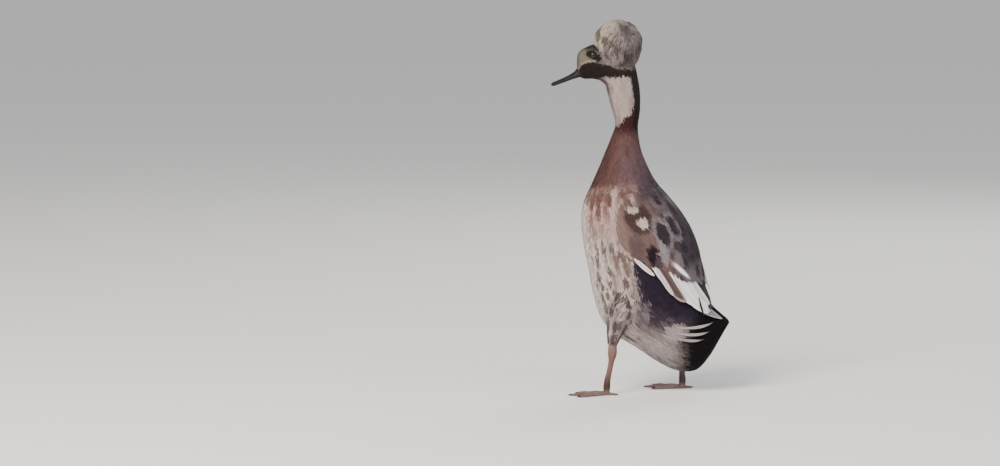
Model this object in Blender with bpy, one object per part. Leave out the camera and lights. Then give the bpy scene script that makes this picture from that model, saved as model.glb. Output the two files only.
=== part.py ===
"""Crested Indian runner drake, standing upright, as a life-size model.

Metres, +Z up. The bird faces -X, its left side is at -Y, and it stands on the floor at Z = 0.
The origin is on the floor, under the middle of the bird's length and width.

The body is one surface, skin(u, v): u runs from the base of the bill over the head and neck and
down the trunk to the tip of the tail, one whole number at each ring of BODY_RINGS, and v runs
round the bird in radians, from 0 on the back over its left side to pi on the belly. Head, neck,
torso and tail are lengths of that surface, and the wings lie on it.
"""
import math
import random

import bmesh
import bpy
import numpy as np
from mathutils import Matrix, Vector

MM = 0.001
GAP = 0.3           # mm, clear gap between pieces that meet

# One row a ring, in mm: x and z on the throat or belly, x and z on the crown or back, half width
BODY_RINGS = (
    (-95, 498, -99, 524, 10),
    (-87, 496, -95, 536, 15),
    (-78, 496, -84, 547, 20),
    (-67, 494, -67, 552, 23),
    (-60, 490, -46, 551, 23.5),
    (-56, 485, -28, 541, 23),
    (-54, 477, -13, 524, 22),
    (-52, 469, -6, 500, 21),
    (-49, 458, -2, 473, 20.5),
    (-44, 441, -2, 446, 19),
    (-41, 423, -5, 423, 18),
    (-48, 402, -4, 406, 20),
    (-57, 380, 0, 385, 25),
    (-67, 355, 8, 364, 31),
    (-79, 328, 19, 342, 38),
    (-90, 302, 36, 318, 46),
    (-94, 272, 56, 289, 52),
    (-90, 235, 73, 262, 56),
    (-82, 194, 85, 233, 57),
    (-74, 154, 92, 204, 56),
    (-62, 117, 97, 178, 54),
    (-38, 90, 103, 159, 51),
    (-7, 71, 109, 146, 47),
    (26, 49, 115, 137, 42),
    (57, 34, 122, 130, 36),
    (87, 34, 129, 124, 30),
    (107, 53, 135, 119, 22),
    (123, 80, 139, 115, 14),
    (136, 103, 141, 111, 6),
)
NECK_FROM = 7       # rings where one node ends and the next begins
TORSO_FROM = 14
TAIL_FROM = 23
TRUNK = 14          # ring 0 of the trunk, from which the wings' places are counted
TORSO_STEP = 0.5    # between rows of the torso's grid, in rings
TORSO_SIDES = 28

BILL_BASE = (-97, 505)      # mm, x and z in the middle of the bill's base
BILL_DROOP = 22.3           # degrees below level
BILL_LENGTH = 48.5
MOUTH_LINE = -1.6           # mm above the bill's axis
NOSTRIL_AT = 13             # mm from the base
NOSTRIL_SIZE = (5, 2.2, 2.2)
NAIL_SIZE = (9, 6.5, 2.2)

EYE_PLACE = (-76, 533)      # mm, x and z of the eyeball's middle
EYE_OUT = 15.3              # mm from the middle plane
EYE_RADIUS = 6.5
LID_RING = (5.1, 0.9)       # mm, middle radius and thickness radius of the lids

CREST_MIDDLE = (-37, 552)
CREST_RADII = (41, 38, 41)
CREST_CORE = (20, 21, 20)
CREST_FEATHERS = 56
CREST_SPAN = (13, 146)      # degrees from the pole of the first and the last feather's tip
CREST_CURL = (math.radians(14), math.radians(48))   # how far round a feather runs, at pole and rim
CREST_ROOT = 0.3            # share of the radius where the roots sit, inside the core
CREST_HALF_WIDTH = 7.4
CREST_TILT = 12             # degrees that the pole leans back
GOLDEN_ANGLE = math.radians(137.508)

# Legs in mm. side is -1 on the left. thigh and shank run through (x, y, z, radius) points.
LEGS = {
    "left": {
        "side": -1,
        "thigh": ((-26, -33, 156, 25), (-33, -35, 128, 22), (-41, -38, 101, 14), (-45, -39, 83, 8.5)),
        "shank": ((-45, -39, 82.7, 6.2), (-45.5, -39, 66, 7), (-47, -39, 54, 4.6),
                  (-50, -39, 38, 4.2), (-53, -39, 24, 4.8), (-54, -39, 15.8, 5.6)),
    },
    "right": {
        "side": 1,
        "thigh": ((24, 36, 112, 22), (40, 35, 88, 17.5), (57, 33, 66, 11.5), (66, 32, 51, 8)),
        "shank": ((66, 32, 50.7, 6), (67, 32, 44, 5), (68, 32, 32, 4.3),
                  (68.5, 32, 23, 4.8), (69, 32, 15.8, 5.6)),
    },
}
TOE_LENGTHS = {"inner": 47, "middle": 57, "outer": 50, "hind": 15}
TOE_SPREAD = {"inner": -24, "middle": 0, "outer": 23, "hind": 160}   # degrees, outwards positive
TOES_OUT = 8                # degrees that a whole foot turns outwards
TOE_HALF_WIDTHS = (3.9, 3.0, 3.5, 2.6, 3.0, 2.1)
TOE_HEIGHTS = (7.5, 6.2, 6.4, 5.0, 5.0, 3.6)
CLAW_LENGTH = 6.5

COLOURS = {
    "plumage_grey": (0.36, 0.30, 0.28),
    "plumage_dark": (0.10, 0.07, 0.08),
    "plumage_chestnut": (0.19, 0.09, 0.08),
    "plumage_pale": (0.45, 0.38, 0.35),
    "bill": (0.035, 0.028, 0.025),
    "eye": (0.015, 0.008, 0.005),
    "leg": (0.30, 0.14, 0.09),
    "claw": (0.05, 0.03, 0.02),
}
ROUGHNESS = {"bill": 0.4, "eye": 0.05, "leg": 0.5, "claw": 0.4}


def new_collection(name):
    """A collection linked to the scene."""
    group = bpy.data.collections.new(name)
    bpy.context.scene.collection.children.link(group)
    return group


def material(name):
    """A Principled material in one of the bird's colours."""
    made = bpy.data.materials.get(name)
    if made:
        return made
    made = bpy.data.materials.new(name)
    made.use_nodes = True
    shader = made.node_tree.nodes["Principled BSDF"]
    shader.inputs["Base Color"].default_value = (*COLOURS[name], 1)
    shader.inputs["Roughness"].default_value = ROUGHNESS.get(name, 0.85)
    shader.inputs["Metallic"].default_value = 0
    return made


def finish(obj, name, colour):
    """Names a finished piece, gives it its colour and files it with the bird's parts."""
    obj.name = name
    obj.data.name = name
    obj.data.materials.clear()
    obj.data.materials.append(material(colour))
    for group in list(obj.users_collection):
        group.objects.unlink(obj)
    PARTS.objects.link(obj)
    obj.data.shade_smooth()
    obj.data.set_sharp_from_angle(angle=math.radians(50))
    return obj


def solid(points, faces):
    """A work piece in metres from points in mm, with its faces turned outwards."""
    mesh = bpy.data.meshes.new("piece")
    mesh.from_pydata((np.asarray(points).reshape(-1, 3) * MM).tolist(), [], faces)
    rework(mesh, lambda cage: bmesh.ops.recalc_face_normals(cage, faces=cage.faces))
    return place(mesh)


def place(mesh):
    """An object for a mesh, in the collection of work pieces."""
    obj = bpy.data.objects.new(mesh.name, mesh)
    WORK.objects.link(obj)
    return obj


def duplicate(obj):
    """A copy of a piece with a mesh of its own."""
    return place(obj.data.copy())


def rework(mesh, change):
    """Opens a mesh as a bmesh, changes it and writes it back."""
    cage = bmesh.new()
    cage.from_mesh(mesh)
    change(cage)
    cage.to_mesh(mesh)
    cage.free()


def loft(rings):
    """A closed body through rings of points in mm, with a fan of triangles over each end."""
    rings = np.asarray(rings, float)
    count, sides = rings.shape[:2]
    points = np.vstack([rings.reshape(-1, 3), rings[0].mean(0), rings[-1].mean(0)])
    first, last = count * sides, count * sides + 1
    faces = []
    for i in range(count - 1):
        for j in range(sides):
            k = (j + 1) % sides
            a, b, c, d = i * sides + j, i * sides + k, (i + 1) * sides + k, (i + 1) * sides + j
            faces += [(a, b, c), (a, c, d)]
    for j in range(sides):
        k = (j + 1) % sides
        faces.append((first, k, j))
        faces.append((last, (count - 1) * sides + j, (count - 1) * sides + k))
    return solid(points, faces)


def spline(rows, at):
    """Catmull-Rom values of a table of rows at the row numbers in at."""
    rows = np.asarray(rows, float)
    at = np.clip(np.asarray(at, float), 0, len(rows) - 1)
    i = np.clip(at.astype(int), 0, len(rows) - 2)
    t = (at - i)[..., None]
    a, b = rows[np.maximum(i - 1, 0)], rows[i]
    c, d = rows[i + 1], rows[np.minimum(i + 2, len(rows) - 1)]
    return b + 0.5 * t * (c - a + t * (2 * a - 5 * b + 4 * c - d + t * (3 * b - a - 3 * c + d)))


def body_point(u, v):
    """Points of the bare body surface in mm, an ellipse between belly and back at each u."""
    u, v = np.broadcast_arrays(np.asarray(u, float), np.asarray(v, float))
    ring = spline(BODY_RINGS, u)
    middle = (ring[..., 0:2] + ring[..., 2:4]) / 2
    reach = (ring[..., 2:4] - ring[..., 0:2]) / 2
    x = middle[..., 0] + reach[..., 0] * np.cos(v)
    z = middle[..., 1] + reach[..., 1] * np.cos(v)
    return np.stack([x, -ring[..., 4] * np.sin(v), z], -1)


def unit(vectors):
    """Vectors scaled to length 1."""
    return vectors / np.maximum(np.linalg.norm(vectors, axis=-1, keepdims=True), 1e-9)


def slopes(u, v):
    """How a point of the body moves, in mm, for a unit step of u and for one of v."""
    step = 0.01
    along = (body_point(u + step, v) - body_point(u - step, v)) / (2 * step)
    around = (body_point(u, v + step) - body_point(u, v - step)) / (2 * step)
    return along, around


def skin(u, v, lift=0.0):
    """Points in mm that stand lift mm off the body surface."""
    along, around = slopes(u, v)
    normal = unit(np.cross(around, along))
    return body_point(u, v) + normal * np.asarray(lift, float)[..., None]


def section_normal(u):
    """The direction in which a flat section at u faces the tail."""
    ring = spline(BODY_RINGS, u)
    across = unit(ring[2:4] - ring[0:2])
    return np.array([across[1], 0, -across[0]])


def body_length(u_from, u_to, rows, sides, clear_start):
    """Rings of the body from u_from to u_to. clear_start moves the first by the gap."""
    u = np.linspace(u_from, u_to, rows)[:, None]
    v = 2 * math.pi * np.arange(sides)[None, :] / sides
    rings = body_point(u, v)
    if clear_start:
        rings[0] += GAP * section_normal(u_from)
    return rings


def grown(obj, by=GAP):
    """A copy of a piece whose faces all stand by mm further out, as a cutter."""
    mesh = obj.data.copy()

    def swell(cage):
        cage.normal_update()
        moves = [v.normal * v.calc_shell_factor() * by * MM for v in cage.verts]
        for vertex, move in zip(cage.verts, moves):
            vertex.co += move

    rework(mesh, swell)
    return place(mesh)


def evaluated(obj):
    """Puts the result of an object's modifiers in its mesh and removes them."""
    bpy.context.view_layer.update()
    graph = bpy.context.evaluated_depsgraph_get()
    mesh = bpy.data.meshes.new_from_object(obj.evaluated_get(graph))
    obj.modifiers.clear()
    obj.data = mesh


def discard(pieces):
    """Removes work pieces that have done their job."""
    for piece in pieces:
        bpy.data.objects.remove(piece)


def keep_largest(obj):
    """Leaves only the largest closed surface of a piece, as triangles."""

    def islands(cage):
        left = set(cage.faces)
        while left:
            stack = [left.pop()]
            found = set(stack)
            while stack:
                for edge in stack.pop().edges:
                    near = [face for face in edge.link_faces if face in left]
                    left.difference_update(near)
                    found.update(near)
                    stack.extend(near)
            yield found

    def size(faces):
        return sum(face.verts[0].co.dot(face.normal) * face.calc_area() for face in faces)

    def trim(cage):
        bmesh.ops.triangulate(cage, faces=cage.faces)
        cage.normal_update()
        best = max(islands(cage), key=size)
        scraps = [face for face in cage.faces if face not in best]
        bmesh.ops.delete(cage, geom=scraps, context="FACES")

    rework(obj.data, trim)
    return obj


def fuse(pieces, solver="EXACT"):
    """One closed body from overlapping ones, by one Boolean union on a collection."""
    base, others = pieces[0], pieces[1:]
    group = bpy.data.collections.new("fused")
    for piece in others:
        group.objects.link(piece)
    union = base.modifiers.new("union", "BOOLEAN")
    union.operation = "UNION"
    union.operand_type = "COLLECTION"
    union.collection = group
    union.solver = solver
    evaluated(base)
    discard(others)
    bpy.data.collections.remove(group)
    return keep_largest(base)


def cut(obj, cutters, solver="EXACT"):
    """Takes the cutters out of a piece and removes them."""
    for cutter in cutters:
        cutter.display_type = "WIRE"
        cutter.hide_render = True
        difference = obj.modifiers.new("difference", "BOOLEAN")
        difference.operation = "DIFFERENCE"
        difference.object = cutter
        difference.solver = solver
    evaluated(obj)
    discard(cutters)
    return keep_largest(obj)


def ball(middle, radii, segments=16, rings=10, turn=Matrix()):
    """An ellipsoid in mm, turned by a matrix about its middle."""
    cage = bmesh.new()
    bmesh.ops.create_uvsphere(cage, u_segments=segments, v_segments=rings, radius=MM)
    cage.transform(Matrix.Translation(Vector(middle) * MM) @ turn.to_4x4() @ Matrix.Diagonal((*radii, 1)))
    mesh = bpy.data.meshes.new("ball")
    cage.to_mesh(mesh)
    cage.free()
    return place(mesh)


def bill_frame():
    """The bill's base point and its directions forwards and upwards, in mm."""
    droop = math.radians(BILL_DROOP)
    base = np.array([BILL_BASE[0], 0, BILL_BASE[1]], float)
    forward = np.array([-math.cos(droop), 0, -math.sin(droop)])
    upward = np.array([-math.sin(droop), 0, math.cos(droop)])
    return base, forward, upward


# One row a section of the bill, in mm: distance from the base, top, half width, underside
BILL_SECTIONS = (
    (-8, 9.5, 8.5, -6.8),
    (0, 9, 10, -6.5),
    (6, 5.8, 9.8, -5.8),
    (14, 3.9, 9.7, -5.1),
    (24, 3.0, 10.4, -4.7),
    (34, 2.7, 11.6, -4.3),
    (42, 2.4, 11.8, -3.9),
    (46, 1.6, 9.2, -3.3),
    (48.5, 0.2, 3.5, -2.3),
)
BILL_ARC_POINTS = 11


def mandible(upper):
    """A half of the bill: an arc over or under the mouth line at each section."""
    base, forward, upward = bill_frame()
    angles = np.linspace(0, math.pi, BILL_ARC_POINTS)
    rings = []
    for along, top, half_width, under in BILL_SECTIONS:
        edge = MOUTH_LINE if upper else MOUTH_LINE - GAP
        tip = top if upper else under
        if not upper:
            half_width -= 1.0
            along = min(along, BILL_LENGTH - 1.2)
        height = edge + (tip - edge) * np.sin(angles) ** 0.8
        side = half_width * np.cos(angles)
        ring = base + along * forward + height[:, None] * upward
        ring[:, 1] += side
        rings.append(ring)
    return loft(rings)


def make_bill():
    """Both mandibles, with a nostril pit on each side and the nail at the tip."""
    base, forward, upward = bill_frame()
    turn = Matrix((forward, (0, 1, 0), upward)).transposed()
    upper = mandible(True)
    nail_place = base + (BILL_LENGTH - 4.5) * forward + 1.3 * upward
    nail = ball(nail_place, np.array(NAIL_SIZE) / 2, 10, 6, turn)
    fuse([upper, nail])
    pits = []
    for side in (-1, 1):
        middle = base + NOSTRIL_AT * forward + 2.6 * upward
        middle[1] = side * 7.2
        pits.append(ball(middle, np.array(NOSTRIL_SIZE) / 2, 10, 6, turn))
    blank = duplicate(upper)
    cut(upper, pits)
    lower = mandible(False)
    finish(upper, "bill_upper", "bill")
    finish(lower, "bill_lower", "bill")
    return [blank, lower]


def make_eyes():
    """The two eyeballs."""
    eyes = []
    for name, side in (("eye_left", -1), ("eye_right", 1)):
        turn = Matrix.Rotation(math.pi / 2, 3, "X")
        middle = (EYE_PLACE[0], side * EYE_OUT, EYE_PLACE[1])
        eyes.append(finish(ball(middle, [EYE_RADIUS] * 3, 12, 8, turn), name, "eye"))
    return eyes


def lid(side):
    """A raised rim of skin round one eye, square to the cheek."""
    cage = bmesh.new()
    major, minor = LID_RING
    steps, corners = 12, 5
    outwards = unit(np.array([-0.12, side, 0.32]))
    across = unit(np.cross(outwards, [0, 0, 1]))
    upright = np.cross(across, outwards)
    middle = np.array([EYE_PLACE[0], side * EYE_OUT, EYE_PLACE[1]]) + outwards * 4.0
    ring = []
    for i in range(steps):
        turn = 2 * math.pi * i / steps
        spoke = math.cos(turn) * across + math.sin(turn) * upright
        corner = 2 * math.pi * np.arange(corners)[:, None] / corners
        circle = middle + spoke * (major + minor * np.cos(corner)) + outwards * minor * np.sin(corner)
        ring.append([cage.verts.new(point) for point in circle * MM])
    for i in range(steps):
        here, there = ring[i], ring[(i + 1) % steps]
        for j in range(corners):
            k = (j + 1) % corners
            cage.faces.new((here[j], here[k], there[k], there[j]))
    bmesh.ops.recalc_face_normals(cage, faces=cage.faces)
    mesh = bpy.data.meshes.new("lid")
    cage.to_mesh(mesh)
    cage.free()
    return place(mesh)


def make_head(bill, eyes):
    """The head with a rounded brow, lids and sockets, cut to take the bill."""
    rings = body_length(0, NECK_FROM, 12, 18, False)
    brow = rings[0].mean(0) + (rings[0] - rings[0].mean(0)) * 0.7 + np.array([-2.5, 0, -0.5])
    head = loft([brow, *rings])
    plain = duplicate(head)
    fuse([head, lid(-1), lid(1)])
    cut(head, [grown(piece) for piece in (*eyes, *bill)])
    discard([bill[0]])
    finish(head, "head", "plumage_dark")
    return plain


def make_neck_and_torso():
    """The neck and the trunk, each closed by a flat section at both ends."""
    neck = loft(body_length(NECK_FROM, TORSO_FROM, 12, 18, True))
    rows = round((TAIL_FROM - TORSO_FROM) / TORSO_STEP) + 1
    torso = loft(body_length(TORSO_FROM, TAIL_FROM, rows, TORSO_SIDES, True))
    finish(neck, "neck", "plumage_chestnut")
    return neck, finish(torso, "torso", "plumage_pale")


def crest_feather(tip_angle, turn, size):
    """A crest feather that rises from the core and curls outwards on a trumpet-shaped surface.

    tip_angle is measured from the crest's pole and turn round it, both in radians."""
    at = np.array([0, 0.42, 0.78, 1])
    travel = CREST_CURL[0] + (CREST_CURL[1] - CREST_CURL[0]) * tip_angle / math.radians(CREST_SPAN[1])
    angle = tip_angle - travel * (1 - at ** 1.3)
    reach = CREST_ROOT + (size - CREST_ROOT) * (1 - (1 - at) ** 1.7)
    half_width = CREST_HALF_WIDTH * np.array([0.6, 1, 0.95, 0.45])
    ring = np.maximum(reach * CREST_RADII[0] * np.sin(np.maximum(angle, 0.02)), 1)
    spread = np.minimum(half_width / ring, math.radians(50))

    def place(angle, turn):
        direction = [np.sin(angle) * np.cos(turn), np.sin(angle) * np.sin(turn), np.cos(angle)]
        return np.stack(direction, -1) * reach[:, None] * CREST_RADII

    lines = [place(angle, turn - spread), place(angle, turn + spread)]
    normals = unit(np.cross(lines[1] - lines[0], np.gradient(lines[0] + lines[1], axis=0)))
    normals *= np.sign((normals * (lines[0] + lines[1])).sum(-1, keepdims=True))
    tilt = math.radians(CREST_TILT)
    lean = np.array([[math.cos(tilt), 0, math.sin(tilt)], [0, 1, 0], [-math.sin(tilt), 0, math.cos(tilt)]])
    middle = np.array([CREST_MIDDLE[0], 0, CREST_MIDDLE[1]])
    lines = [line @ lean.T + middle for line in lines]
    return ribbon(lines, normals @ lean.T, [0.8, 0.75, 0.65, 0.45])


def make_crest(head):
    """The round crest: a core on the back of the crown, and its feathers one by one."""
    draw = random.Random(7)
    middle = (CREST_MIDDLE[0], 0, CREST_MIDDLE[1] - 1)
    pieces = [ball(middle, CREST_CORE, 14, 9)]
    low, high = (math.cos(math.radians(angle)) for angle in CREST_SPAN)
    for i in range(CREST_FEATHERS):
        tip_angle = math.acos(low + (high - low) * (i + 0.5) / CREST_FEATHERS)
        turn = i * GOLDEN_ANGLE + draw.uniform(-0.06, 0.06)
        pieces.append(crest_feather(tip_angle, turn, draw.uniform(0.965, 1)))
    crest = fuse(pieces, "MANIFOLD")
    cut(crest, [grown(head)], "MANIFOLD")
    finish(crest, "crest", "plumage_grey")


def cells_on_body(cells, depth):
    """A closed slab on the torso over whole cells of its grid, so that its underside keeps the gap
    to the torso's own triangles. depth(row, column) is its height off the torso in mm."""
    points, faces, numbers = [], [], {}

    def number(i, j, top):
        key = (i, j, top)
        if key not in numbers:
            numbers[key] = len(points)
            u = TORSO_FROM + i * TORSO_STEP
            lift = depth(i, j) if top else GAP * 1.2
            points.append(skin(u, 2 * math.pi * j / TORSO_SIDES, lift))
        return numbers[key]

    for i, j in cells:
        for top in (True, False):
            a, b = number(i, j, top), number(i, j + 1, top)
            c, d = number(i + 1, j + 1, top), number(i + 1, j, top)
            faces += [(a, b, c), (a, c, d)]
        edges = {
            (i - 1, j): ((i, j), (i, j + 1)),
            (i + 1, j): ((i + 1, j), (i + 1, j + 1)),
            (i, j - 1): ((i, j), (i + 1, j)),
            (i, j + 1): ((i, j + 1), (i + 1, j + 1)),
        }
        for beside, (one, two) in edges.items():
            if beside not in cells:
                a, b = number(*one, True), number(*two, True)
                c, d = number(*two, False), number(*one, False)
                faces += [(a, b, c), (a, c, d)]
    return solid(points, faces)


def ribbon(lines, normals, thickness):
    """A thin closed vane. lines holds two or more lines of points along its upper face, from edge to
    edge, and thickness its depth in mm at each point along. Both faces have the same triangles."""
    top = np.stack(lines, 1)
    rows, columns = top.shape[:2]
    depth = np.asarray(thickness, float)[:, None, None]
    points = np.stack([top, top - normals[:, None, :] * depth], 2).reshape(-1, 3)

    def number(i, j, face):
        return (i * columns + j) * 2 + face

    faces = []
    for i in range(rows - 1):
        for j in range(columns - 1):
            for face in (0, 1):
                a, b = number(i, j, face), number(i, j + 1, face)
                c, d = number(i + 1, j + 1, face), number(i + 1, j, face)
                faces += [(a, b, c), (a, c, d)]
        for j in (0, columns - 1):
            a, b = number(i, j, 0), number(i, j, 1)
            c, d = number(i + 1, j, 1), number(i + 1, j, 0)
            faces += [(a, b, c), (a, c, d)]
    for i in (0, rows - 1):
        for j in range(columns - 1):
            a, b = number(i, j, 0), number(i, j + 1, 0)
            c, d = number(i, j + 1, 1), number(i, j, 1)
            faces += [(a, b, c), (a, c, d)]
    return solid(points, faces)


# Places along a vane from root to tip, its share of the full width there and its depth in mm
VANE = ((0, 0.2, 0.75, 1), (0.6, 0.9, 1, 0.35), (0.7, 0.65, 0.55, 0.35))
COVERT = ((0, 0.66, 1), (0.7, 1, 0.5), (0.7, 0.6, 0.45))
LIFTS_OFF = 0.2     # share of a long vane's length where it leaves the core


def body_vane(root, tip, heights, half_width, shape, roll=0.0):
    """A feather over the body from root to tip, both (u, v). heights gives how far it stands off
    the body in mm at its root and its tip, and for a long feather also where it leaves the core,
    between the two. roll lifts the edge nearer the belly, in mm a mm."""
    at, share, thickness = (np.array(row, float) for row in shape)
    (u0, v0), (u1, v1) = root, tip
    u, v = u0 + (u1 - u0) * at, v0 + (v1 - v0) * at
    height = np.interp(at, (0, 1) if len(heights) == 2 else (0, LIFTS_OFF, 1), heights)
    along, around = slopes(u, v)
    normal = unit(np.cross(around, along))
    run = unit(along * (u1 - u0) + around * (v1 - v0))
    across = np.cross(run, normal) * (half_width * share)[:, None]
    e, f, g = (along * along).sum(-1), (along * around).sum(-1), (around * around).sum(-1)
    a, b = (across * along).sum(-1), (across * around).sum(-1)
    du, dv = (a * g - b * f) / (e * g - f * f), (b * e - a * f) / (e * g - f * f)
    lines = []
    for side in (-1, 1):
        lift = height + side * roll * half_width * share
        lines.append(skin(u + side * du, v + side * dv, lift))
    return ribbon(lines, normal, thickness)


def straight_vane(root, tip, across, half_width, shape, bow=0.0):
    """A feather from root to tip in mm, bowed outwards by bow, with its width along across."""
    at, share, thickness = (np.array(row, float) for row in shape)
    run = unit(tip - root)
    across = unit(across - run * np.dot(across, run))
    normal = np.cross(across, run)
    if normal[2] < 0:
        normal = -normal
    centre = root + np.outer(at, tip - root) + np.outer(bow * np.sin(math.pi * at), normal)
    reach = np.outer(share * half_width, across)
    ridge = np.outer(np.full(len(at), half_width * 0.08), normal)
    lines = [centre - reach, centre + ridge, centre + reach]
    return ribbon(lines, np.tile(normal, (len(at), 1)), thickness)


def mirrored(pieces):
    """Turns pieces of the bird's left side into ones of its right side."""

    def flip(cage):
        for vertex in cage.verts:
            vertex.co.y *= -1
        bmesh.ops.reverse_faces(cage, faces=cage.faces)

    for piece in pieces:
        rework(piece.data, flip)
    return pieces


# The wing's core covers these cells of the torso: first row, last row, first and last column
WING_CORE = ((3, 3, 3, 6), (4, 6, 2, 7), (7, 8, 2, 6), (9, 10, 2, 5), (11, 11, 2, 4), (12, 14, 2, 3))
WING_CORE_DEPTH = 2.4       # mm in its middle
WING_CORE_EDGE = 1.2        # mm at its edges

# Rows of wing feathers, from the tail forwards and upwards. Each has a count, the root and the tip
# of its first and last feather as (ring of the trunk, degrees round from the back), its heights
# off the body in mm, half the width in mm, a vane shape and a roll in mm a mm.
WING_ROWS = {
    "primaries": (4, (6.3, 47), (6.5, 35), (9.5, 38), (11.2, 31), (2.0, 2.7, 3.2), 6.2, VANE, 0.1),
    "secondaries": (5, (3.9, 83), (4.8, 48), (6.1, 61), (8.0, 39), (2.1, 4.4, 5.4), 8, VANE, 0.1),
    "tertials": (3, (4.3, 43), (4.4, 26), (8.7, 36), (7.6, 23), (2.1, 4.6, 7), 9, VANE, 0.1),
    "greater_coverts": (5, (3.2, 92), (3.7, 54), (4.9, 79), (5.7, 49), (2.2, 7.0), 8.4, COVERT, 0.1),
    "median_coverts": (5, (2.6, 94), (3.0, 56), (4.2, 88), (4.7, 54), (2.2, 7.4), 8.6, COVERT, 0.1),
    "lesser_coverts": (5, (1.9, 95), (2.0, 58), (3.3, 98), (3.5, 58), (2.2, 7.4), 8.8, COVERT, 0.1),
    "scapulars_rear": (3, (2.9, 46), (3.0, 20), (5.7, 45), (5.5, 18), (2.2, 9.4), 9.4, COVERT, 0.1),
    "scapulars_front": (3, (1.9, 46), (2.0, 22), (3.8, 48), (4.0, 19), (2.2, 9.4), 9.4, COVERT, 0.1),
}


def on_trunk(place):
    """A (ring of the trunk, degrees) place as (u, v)."""
    return np.array([TRUNK + place[0], math.radians(place[1])])


def feather_row(count, first_root, last_root, first_tip, last_tip, heights, half_width, shape, roll):
    """Feathers side by side, with roots and tips on two lines between the first and the last."""
    vanes = []
    for share in np.linspace(0, 1, count):
        root = on_trunk(first_root) * (1 - share) + on_trunk(last_root) * share
        tip = on_trunk(first_tip) * (1 - share) + on_trunk(last_tip) * share
        vanes.append(body_vane(root, tip, heights, half_width, shape, roll))
    return vanes


def make_wing(name, side):
    """A folded wing: a thin core on the trunk, and its feathers in tiers from the tail forwards."""
    cells = set()
    for first_row, last_row, first_column, last_column in WING_CORE:
        for i in range(first_row, last_row + 1):
            cells.update((i, j) for j in range(first_column, last_column + 1))

    def depth(i, j):
        around = ((i - 1, j - 1), (i - 1, j), (i, j - 1), (i, j))
        return WING_CORE_DEPTH if cells.issuperset(around) else WING_CORE_EDGE

    pieces = [cells_on_body(cells, depth)]
    for row in WING_ROWS.values():
        pieces += feather_row(*row)
    if side > 0:
        mirrored(pieces)
    finish(fuse(pieces), name, "plumage_dark")


# Rings of the fleshy core of the tail: ring of the trunk, share of the outline's size
TAIL_CORE = ((9, 1), (9.5, 0.97), (10.1, 0.93), (10.7, 0.86), (11.3, 0.74), (11.7, 0.5))
TAIL_FEATHERS = 6                   # on each side
TAIL_TIP_PLACE = (140.5, 2.5, 111)  # mm, tip of the middle feather
TAIL_TIP_REACH = (-44, 31, -24)     # from there to the tip of the outermost feather
TAIL_ROOT_PLACE = (97, 2, 103)
TAIL_ROOT_REACH = (-18, 22, -11)
TAIL_ROOF = (10, 66)                # degrees that the middle and outermost feathers slope outwards
TAIL_ROLL = 12                      # degrees that each feather lies flatter than the roof
TAIL_HALF_WIDTH = 7
TAIL_COVERT_STEP = 1.0              # mm that every other covert of a tier lies higher

# Tiers of tail coverts: rings of root and tip, degrees round of the first and last feather,
# count, heights in mm at root and tip, half width in mm
TAIL_COVERTS = (
    (9.6, 12.1, -24, 24, 4, (-4, 0.8), 7.5),
    (10.3, 11.9, 98, 262, 7, (-6, 0.8), 9),
    (10.8, 12.7, 105, 255, 6, (-9, 0.2), 8.5),
    (11.2, 13.4, 115, 245, 5, (-14, -0.8), 7),
    (11.4, 13.95, 130, 230, 3, (-17, -1), 5),
)


def make_tail():
    """The tail: a fleshy core, a roof-shaped fan of tail feathers and the coverts round it.

    A copy of the core comes back as the shape that the thigh beside it is cut to."""
    rings = []
    for place, share in TAIL_CORE:
        ring = body_length(TRUNK + place, TRUNK + place, 1, 24, False)[0]
        rings.append(ring.mean(0) + (ring - ring.mean(0)) * share)
    rings[0] += GAP * section_normal(TAIL_FROM)
    core = loft(rings)
    pieces = [duplicate(core)]
    for side in (-1, 1):
        for i in range(TAIL_FEATHERS):
            share = i / (TAIL_FEATHERS - 1)
            spread = np.array([share ** 1.7, share ** 0.85, share ** 2])
            tip = np.array(TAIL_TIP_PLACE) + spread * TAIL_TIP_REACH
            root = np.array(TAIL_ROOT_PLACE) + spread * TAIL_ROOT_REACH
            slope = math.radians(TAIL_ROOF[0] + (TAIL_ROOF[1] - TAIL_ROOF[0]) * share - TAIL_ROLL)
            across = np.array([0, math.cos(slope), -math.sin(slope)])
            for place in (tip, root, across):
                place[1] *= side
            pieces.append(straight_vane(root, tip, across, TAIL_HALF_WIDTH, VANE, bow=0.5))
    for start, end, first, last, count, heights, half_width in TAIL_COVERTS:
        for i, angle in enumerate(np.linspace(first, last, count)):
            root, tip = on_trunk((start, angle)), on_trunk((end, angle))
            step = np.array([0, TAIL_COVERT_STEP * (i % 2)])
            pieces.append(body_vane(root, tip, heights + step, half_width, COVERT))
    finish(fuse(pieces), "tail", "plumage_dark")
    return core


def limb(points, sides, rows, flatten=1.0, level_ends=(False, False)):
    """A tapering limb through (x, y, z, radius) points, with its sections square to its run."""
    at = np.linspace(0, len(points) - 1, rows)
    path = spline(points, at)
    run = unit(np.gradient(path[:, :3], axis=0))
    angles = 2 * math.pi * np.arange(sides) / sides
    rings = []
    for i, (x, y, z, radius) in enumerate(path):
        direction = run[i]
        if (i == 0 and level_ends[0]) or (i == rows - 1 and level_ends[1]):
            direction = np.array([0, 0, -1.0])
        sideways = unit(np.cross(direction, [1, 0, 0]))
        forwards = np.cross(sideways, direction)
        ring = np.outer(np.cos(angles) * radius, forwards)
        ring += np.outer(np.sin(angles) * radius * flatten, sideways)
        rings.append(ring + np.array([x, y, z]))
    return rings


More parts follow.
